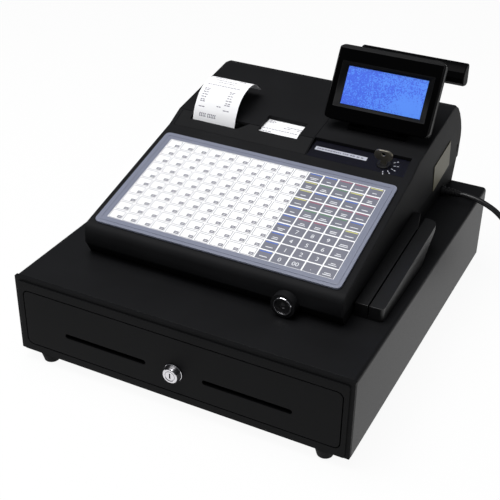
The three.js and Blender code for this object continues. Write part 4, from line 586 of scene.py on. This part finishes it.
spare = random.Random(7)
bar_pitch = 2.4
half_bar = 0.5
legends = bmesh.new()
for row in range(rows):
    for column in range(white_columns, columns):
        if row in pad_rows and pad_column <= column < pad_column + 3:
            continue
        left = field_left + column * key_wide
        front = field_front + (rows - 1 - row) * key_deep
        lines = spare.choice((1, 2))
        for line in range(lines):
            wide = spare.uniform(5.0, 10.5)
            x0 = left + (key_wide - wide) / 2
            y0 = front + (6.2 if lines == 2 else 5.0) - bar_pitch * line
            flat_bar(legends, x0, x0 + wide, y0 - half_bar, y0 + half_bar)
add_made("key_legend_bars", legends, "base", [legend_white])
for letter, material in strip_materials.items():
    strips = bmesh.new()
    for row in range(rows):
        for offset in range(columns - white_columns):
            if strip_rows[row][offset] == letter:
                left = field_left + (white_columns + offset) * key_wide
                back = field_front + (rows - row) * key_deep
                flat_bar(strips, left + key_margin, left + key_wide - key_margin, back - 3.1, back - 1.7)
    add_made("key_strips_" + letter, strips, "base", [material])

tags = bmesh.new()
tag_middles = bmesh.new()
for row in range(rows):
    for column in range(white_columns):
        right = field_left + (column + 1) * key_wide - key_margin
        front = field_front + (rows - 1 - row) * key_deep + 2.7
        flat_bar(tags, right - 5.6, right, front, front + 4.1)
        flat_bar(tag_middles, right - 4.3, right - 1.3, front + 1.2, front + 2.9,
                 legend_top, legend_top + 0.00003)
add_made("key_tags", tags, "base", [legend_grey])
add_made("key_tag_middles", tag_middles, "base", [legend_pale])


# Printer
# Under the hinged cover two paper rolls lie in a black tub, each with a rubber platen, and the journal
# winds on a spool. The receipt comes up through a slot in the front panel and curls back over the cover.

eased("printer_front_panel", "base", housing_plastic, rounding=0.0003)
eased("printer_cover", "cover", housing_plastic, rounding=0.00035)
works_plastic = moulded("works_plastic", (0.013, 0.013, 0.014), roughness=0.6, specular=0.25, grain=0.3)
eased("printer_frame", "base", works_plastic, rounding=0.0)
platen_rubber = moulded("platen_rubber", (0.020, 0.020, 0.021), roughness=0.7, specular=0.2,
                        grain=0.35, grain_size=900)
eased("receipt_platen", "receipt_platen", platen_rubber, rounding=0.0)
eased("journal_platen", "journal_platen", platen_rubber, rounding=0.0)
eased("takeup_spool", "takeup_spool", works_plastic, rounding=0.0)


def paper_finish(name, colour):
    """Thin paper, bare or printed: one dull colour with a faint fibre."""
    return moulded(name, colour, roughness=0.88, specular=0.2, grain=0.12, grain_size=2400, tone=0.02)


paper_white = paper_finish("paper_white", (0.90, 0.90, 0.91))
paper_ink = paper_finish("paper_ink", (0.17, 0.16, 0.21))


def wound_finish(name, colour, middle):
    """The wound edge of a paper roll: fine rings round the roll's own axis."""
    material, nodes, links, shader, place = finish_nodes(name)
    centre = worked_out(nodes, "SUBTRACT", "ShaderNodeVectorMath")
    centre.inputs[1].default_value = middle
    links.new(place, centre.inputs[0])
    flat = worked_out(nodes, "MULTIPLY", "ShaderNodeVectorMath")
    flat.inputs[1].default_value = (0, 1, 1)
    links.new(centre.outputs["Vector"], flat.inputs[0])
    far = worked_out(nodes, "LENGTH", "ShaderNodeVectorMath")
    links.new(flat.outputs["Vector"], far.inputs[0])
    rings = worked_out(nodes, "MULTIPLY")
    rings.inputs[1].default_value = 9000.0
    links.new(far.outputs["Value"], rings.inputs[0])
    wave = worked_out(nodes, "SINE")
    links.new(rings.outputs["Value"], wave.inputs[0])
    ramp = nodes.new("ShaderNodeValToRGB")
    ramp.color_ramp.elements[0].color = [c * 0.86 for c in colour] + [1]
    ramp.color_ramp.elements[1].color = [*colour, 1]
    links.new(wave.outputs["Value"], ramp.inputs["Fac"])
    links.new(ramp.outputs["Color"], shader.inputs["Base Color"])
    bump = nodes.new("ShaderNodeBump")
    bump.inputs["Strength"].default_value = 0.2
    bump.inputs["Distance"].default_value = 0.0001
    links.new(wave.outputs["Value"], bump.inputs["Height"])
    links.new(bump.outputs["Normal"], shader.inputs["Normal"])
    shader.inputs["Roughness"].default_value = 0.85
    shader.inputs["Specular IOR Level"].default_value = 0.2
    return material


roll_bore = 0.006
roll_corner = 0.0003
journal_left, journal_right = 154.3, 211.7
for node, y, z, radius, low, high in (
        ("receipt_roll", 366, 65, 0.030, 69.3, 126.7),
        ("journal_roll", 358, 63, 0.028, journal_left, journal_right)):
    roll_middle = at((low + high) / 2, y, z)
    half = (high - low) / 2000
    roll_mesh = bmesh.new()
    spun(roll_mesh, [(roll_bore, -half), (radius - roll_corner, -half), (radius, -half + roll_corner),
                     (radius, half - roll_corner), (radius - roll_corner, half), (roll_bore, half),
                     (roll_bore, -half)], laid_over(roll_middle, "Y"), steps=96)
    wound_paper = wound_finish(node + "_edge", (0.88, 0.88, 0.86), roll_middle)
    roll = add_made(node + "_wound", roll_mesh, node, [wound_paper], smooth=30)
    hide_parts(node)


cell_width = 0.8
cell_length = 1.15
paper_thickness = 0.00018


def printed_strip(name, line, left, right, body, text_rows):
    """A strip of paper along a curve. A text row is its share of the length and its printed cells."""
    spacing = [0.0]
    for a, b in zip(line, line[1:]):
        spacing.append(spacing[-1] + (b - a).length)
    length = spacing[-1]
    across = round((right - left) / cell_width)
    along = round(length * 1000 / cell_length)
    bm = bmesh.new()
    bmesh.ops.create_grid(bm, x_segments=across, y_segments=along, size=0.5)
    printed = {}
    for share, runs in text_rows:
        printed[int(share * along)] = {cell for start, end in runs for cell in range(start, end)}
    for face in bm.faces:
        middle = face.calc_center_median()
        if int((middle.x + 0.5) * across) in printed.get(int((middle.y + 0.5) * along), ()):
            face.material_index = 1
    for vert in bm.verts:
        want = (vert.co.y + 0.5) * length
        near = max(next((i for i, s in enumerate(spacing) if s >= want - 1e-9), len(line) - 1), 1)
        share = (want - spacing[near - 1]) / (spacing[near] - spacing[near - 1])
        spot = line[near - 1].lerp(line[near], share)
        vert.co = ((left + (vert.co.x + 0.5) * (right - left) - case_middle) / 1000, spot.y, spot.z)
    front_faces = list(bm.faces)
    bm.normal_update()
    back = bmesh.ops.extrude_face_region(bm, geom=front_faces)
    back_verts = [v for v in back["geom"] if isinstance(v, bmesh.types.BMVert)]
    shift = {v: v.normal.copy() for v in back_verts}
    for vert in back_verts:
        vert.co -= shift[vert] * paper_thickness
    for face in bm.faces:
        if face not in front_faces:
            face.material_index = 0
    return add_made(name, bm, body, [paper_white, paper_ink], smooth=40)


marks = random.Random(5)


def words(start, count):
    """A run of short printed words from one cell on."""
    runs = []
    for _ in range(count):
        end = start + marks.randint(3, 5)
        runs.append((start, end))
        start = end + 1
    return runs


large_letters = (10, 13, 16, 19, 24, 27, 30, 33, 36)
receipt_rows = [(0.045 + 0.012 * i, [(9, 12), (14 + i, 17 + i)]) for i in range(2)]
for i in range(4):
    stroke = 1 if i in (1, 2) else 2
    receipt_rows.append((0.13 + 0.0105 * i, [(start, start + stroke) for start in large_letters]))
receipt_rows += [(0.235 + 0.031 * i, words(6, 2) + words(48 + i % 2, 2)) for i in range(9)]
receipt_rows += [(0.265, words(36, 2)), (0.56, words(6, 12)), (0.62, words(20, 6)), (0.66, words(14, 8)),
                 (0.72, words(8, 4) + words(50, 2))]
receipt_rows += [(0.75 + 0.031 * i, words(6, 2) + words(50, 2)) for i in range(7)]
slot_depth, slot_height = 281.9, 85.5
curl_depth, curl_height = 74, 44.5
receipt_shares = [(0, 0), (0.01, 0.15), (0.08, 0.48), (0.25, 0.83), (0.49, 1), (0.72, 1.01), (0.9, 0.84),
                  (1, 0.68)]
receipt_line = smooth_route([at(case_middle, slot_depth + a * curl_depth, slot_height + b * curl_height)
                             for a, b in receipt_shares], 8)
receipt = printed_strip("receipt_printed", receipt_line, 69, 127, "cover", receipt_rows)
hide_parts("receipt_paper")
roof_front = 98
roof_run = 26
roof_tilt = math.radians(8.9)
table_depth = 5.5
table_height = roof_front + roof_run * math.tan(roof_tilt) - table_depth
journal_points = [(283.5, 79.5), (285, 85.5), (290, 91.5), (319, table_height), (360.5, table_height - 0.3),
                  (398, 92.7)]
journal_line = smooth_route([at(case_middle, y, z) for y, z in journal_points], 8)
journal_rows = [(0.10 + 0.022 * i, words(6, 3) + (words(54, 3) if i % 2 else [])) for i in range(3)]
journal_rows += [(0.19, words(5, 12)), (0.25, words(36, 2) + words(58, 2)),
                 (0.275, words(40, 3) + words(56, 3))]
journal_rows += [(0.30 + 0.022 * i, words(6, 2 + i % 2)) for i in range(4)]
journal = printed_strip("journal_printed", journal_line, journal_left, journal_right, "base", journal_rows)
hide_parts("journal_paper")


# Control panel and mode lock
# A dark printed panel in a shallow recess, with a pale strip of small marks, and the round lock with its
# key standing in it. Ticks round the lock show the key's places.

panel_dots, nodes, links, shader, place = finish_nodes("panel_dots")
turned_place = nodes.new("ShaderNodeMapping")
turned_place.vector_type = "TEXTURE"
turned_place.inputs["Location"].default_value = deck_corner
turned_place.inputs["Rotation"].default_value = (deck_tilt, 0, 0)
links.new(place, turned_place.inputs["Vector"])
cells = nodes.new("ShaderNodeTexVoronoi")
cells.voronoi_dimensions = "2D"
cells.inputs["Scale"].default_value = 400.0
cells.inputs["Randomness"].default_value = 0.0
links.new(turned_place.outputs["Vector"], cells.inputs["Vector"])
dots = nodes.new("ShaderNodeValToRGB")
dots.color_ramp.elements[0].position = 0.16
dots.color_ramp.elements[0].color = (0.008, 0.010, 0.045, 1)
dots.color_ramp.elements[1].position = 0.2
dots.color_ramp.elements[1].color = (0.001, 0.001, 0.0018, 1)
links.new(cells.outputs["Distance"], dots.inputs["Fac"])
links.new(dots.outputs["Color"], shader.inputs["Base Color"])
shader.inputs["Roughness"].default_value = 0.5
shader.inputs["Specular IOR Level"].default_value = 0.12
eased("control_panel", "base", panel_dots, rounding=0.0)
panel_top = -0.00005
print_low = panel_top + 0.00002
print_top = panel_top + 0.0001
lock_across, lock_along = 0.2697, 0.203
tick_turns = (34, 6, -22, -48, -74)
tick_radii = (0.0128, 0.0166)
panel_print = bmesh.new()
block(panel_print, (0.183, 0.2022, print_low), (0.248, 0.2084, print_top), deck)
for turn in tick_turns:
    angle = math.radians(turn)
    for radius in tick_radii:
        middle = Vector((lock_across + radius * math.cos(angle), lock_along + radius * math.sin(angle), 0))
        tick_place = deck @ Matrix.Translation(middle) @ Matrix.Rotation(angle, 4, "Z")
        block(panel_print, (-0.0012, -0.0005, print_low), (0.0012, 0.0005, print_top), tick_place)
pale_print = moulded("panel_pale_print", (0.46, 0.47, 0.53), roughness=0.4, grain=0.05, tone=0.04)
add_made("control_panel_strip", panel_print, "base", [pale_print])
strip_marks = bmesh.new()
mark_at = 185.5
last_mark = 244
while mark_at < last_mark:
    wide = spare.uniform(1.4, 3.4)
    block(strip_marks, (mark_at / 1000, 0.2041, print_top),
          ((mark_at + wide) / 1000, 0.2065, print_top + 0.00003), deck)
    mark_at += wide + spare.choice((0.7, 0.7, 2.2))
add_made("control_panel_marks", strip_marks, "base", [legend_grey])
lock_dark = moulded("mode_lock_dark", (0.02, 0.02, 0.021), roughness=0.35, metallic=0.5, grain=0.1)
eased("mode_lock_barrel", "base", lock_dark, rounding=0.0003)
key_brass = moulded("key_nickel_brass", (0.40, 0.37, 0.29), roughness=0.36, metallic=1.0,
                    grain=0.1, tone=0.1)
key_piece = eased("mode_key", "mode_key", key_brass, rounding=0.0003)
key_piece.data.materials.append(lock_dark)

# The dark plug of the lock turns with the key. Its face lies no higher than this over the panel.

from_deck = deck.inverted()
plug_face = 0.0016
for face in key_piece.data.polygons:
    if (from_deck @ face.center).z < plug_face:
        face.material_index = 1


# Operator display
# A dark moulded case in two halves, tilted back on a neck with a pin. A window with sloping sides lies
# over a blue backlit panel.

display_plastic = moulded("display_plastic", (0.0008, 0.0008, 0.0010), roughness=0.5, specular=0.04,
                          grain=0.2)
# The bezel is one black moulding in two copies. The rim and the window's sloping sides get a lighter copy, a
# painted highlight. The flat front gets a darker copy with almost no gloss, a painted shade.
rim_painted_highlight = moulded("display_rim_painted_highlight", (0.0022, 0.0022, 0.0026), roughness=0.45, specular=0.09, grain=0.2)
face_painted_shade = moulded("display_face_painted_shade", (0.0005, 0.0005, 0.0006), roughness=0.5, specular=0.01, grain=0.1)
bezel_piece = eased("display_bezel", "display", rim_painted_highlight, rounding=0.0004)
bezel_piece.data.materials.append(face_painted_shade)
screen_tilt = math.radians(29.1)
screen_way = Vector((0, -math.cos(screen_tilt), math.sin(screen_tilt)))
nearly_flat = 0.99
# Faces turned the way the screen looks take the darker copy, which is painted shade on the one moulding.
for face in bezel_piece.data.polygons:
    if face.normal.dot(screen_way) > nearly_flat:
        face.material_index = 1
eased("display_back", "display", display_plastic, rounding=0.0004)
eased("display_neck", "base", display_plastic, rounding=0.0003)
lcd, nodes, links, shader, place = finish_nodes("lcd_blue")
cloud = nodes.new("ShaderNodeTexNoise")
cloud.inputs["Scale"].default_value = 34.0
cloud.inputs["Detail"].default_value = 6.0
links.new(place, cloud.inputs["Vector"])
split = nodes.new("ShaderNodeSeparateXYZ")
links.new(place, split.inputs["Vector"])
slope = nodes.new("ShaderNodeMapRange")
slope.inputs["From Min"].default_value = 0.04
slope.inputs["From Max"].default_value = 0.145
slope.inputs["To Min"].default_value = -0.12
slope.inputs["To Max"].default_value = 0.12
links.new(split.outputs["X"], slope.inputs["Value"])
mixed = worked_out(nodes, "ADD")
links.new(cloud.outputs["Fac"], mixed.inputs[0])
links.new(slope.outputs["Result"], mixed.inputs[1])
squares = worked_out(nodes, "SNAP", "ShaderNodeVectorMath")
squares.inputs[1].default_value = (0.0013, 0.0013, 0.0013)
links.new(place, squares.inputs[0])
lit_squares = nodes.new("ShaderNodeTexWhiteNoise")
lit_squares.noise_dimensions = "3D"
links.new(squares.outputs["Vector"], lit_squares.inputs["Vector"])
speckled = worked_out(nodes, "MULTIPLY_ADD")
speckled.inputs[1].default_value = 0.42
links.new(lit_squares.outputs["Value"], speckled.inputs[0])
links.new(mixed.outputs["Value"], speckled.inputs[2])
blues = nodes.new("ShaderNodeValToRGB")
blues.color_ramp.elements[0].position = 0.62
blues.color_ramp.elements[0].color = (0.045, 0.11, 0.62, 1)
blues.color_ramp.elements[1].position = 0.76
blues.color_ramp.elements[1].color = (0.075, 0.215, 0.74, 1)
links.new(speckled.outputs["Value"], blues.inputs["Fac"])
links.new(blues.outputs["Color"], shader.inputs["Base Color"])
links.new(blues.outputs["Color"], shader.inputs["Emission Color"])
shader.inputs["Emission Strength"].default_value = 0.3
shader.inputs["Roughness"].default_value = 0.3
shader.inputs["Specular IOR Level"].default_value = 0.4
refinish("display_screen", lcd)


# Customer display
# A slim head with a smoked window at the back. It turns on top of a tube that pulls up out of the
# housing.

eased("customer_display_post", "customer_mast", display_plastic, rounding=0.0003)
eased("customer_display_head", "customer_head", display_plastic, rounding=0.0004)
smoked = moulded("smoked_window", (0.012, 0.013, 0.02), roughness=0.12, specular=0.5,
                 grain=0.03, tone=0.05, coat=0.3)
refinish("customer_display_window", smoked)


# Card reader, key reader and plain plate
# The card reader's two mouldings stand on the case with the swipe slot between them. The key reader is a
# chromed ring with a dark contact disc, in a boss on the front skirt. The plate lies on the right wall.

reader_plastic = moulded("reader_plastic", (0.0045, 0.0046, 0.0051), roughness=0.36, specular=0.42,
                         grain=0.3)
eased("card_reader_inner", "base", reader_plastic, rounding=0.0004)
eased("card_reader_outer", "base", reader_plastic, rounding=0.0004)
reader_middle = at(297, 66, 15.2)
reader_frame = laid_over(reader_middle, "X")
hoop_mesh = bmesh.new()
spun(hoop_mesh, [(0.0089, -0.0057), (0.0105, -0.0057), (0.0105, 0.0004), (0.0102, 0.0009), (0.0097, 0.001),
                 (0.0091, 0.0008), (0.0089, 0.0002), (0.0089, -0.0057)], reader_frame, steps=72)
hoop = add_made("key_reader_hoop", hoop_mesh, "base", [lock_chrome], smooth=30)
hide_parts("key_reader_ring")
contact_mesh = bmesh.new()
spun(contact_mesh, [(0.0, -0.0057), (0.0087, -0.0057), (0.0087, -0.0014), (0.0085, -0.0012),
                    (0.0034, -0.0012), (0.0030, -0.0008), (0.0016, 0.0), (0.0, 0.0001)],
     reader_frame, steps=64)
contact_dark = moulded("contact_dark", (0.02, 0.02, 0.021), roughness=0.35, metallic=0.4, grain=0.1)
contact = add_made("key_reader_contact", contact_mesh, "base", [contact_dark], smooth=30)
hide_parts("key_reader_core")
plate_beige = moulded("plate_beige", (0.155, 0.142, 0.09), roughness=0.5, specular=0.4, grain=0.08,
                      tone=0.06)
eased("side_plate", "base", plate_beige, rounding=0.0001)


# Circuit board
# The board stands on short legs in the lower tray: glass fibre with its chips, under a green lacquer.

board_green = moulded("board_green", (0.02, 0.10, 0.04), roughness=0.4, specular=0.5, grain=0.1, tone=0.2)
refinish("main_board", board_green)
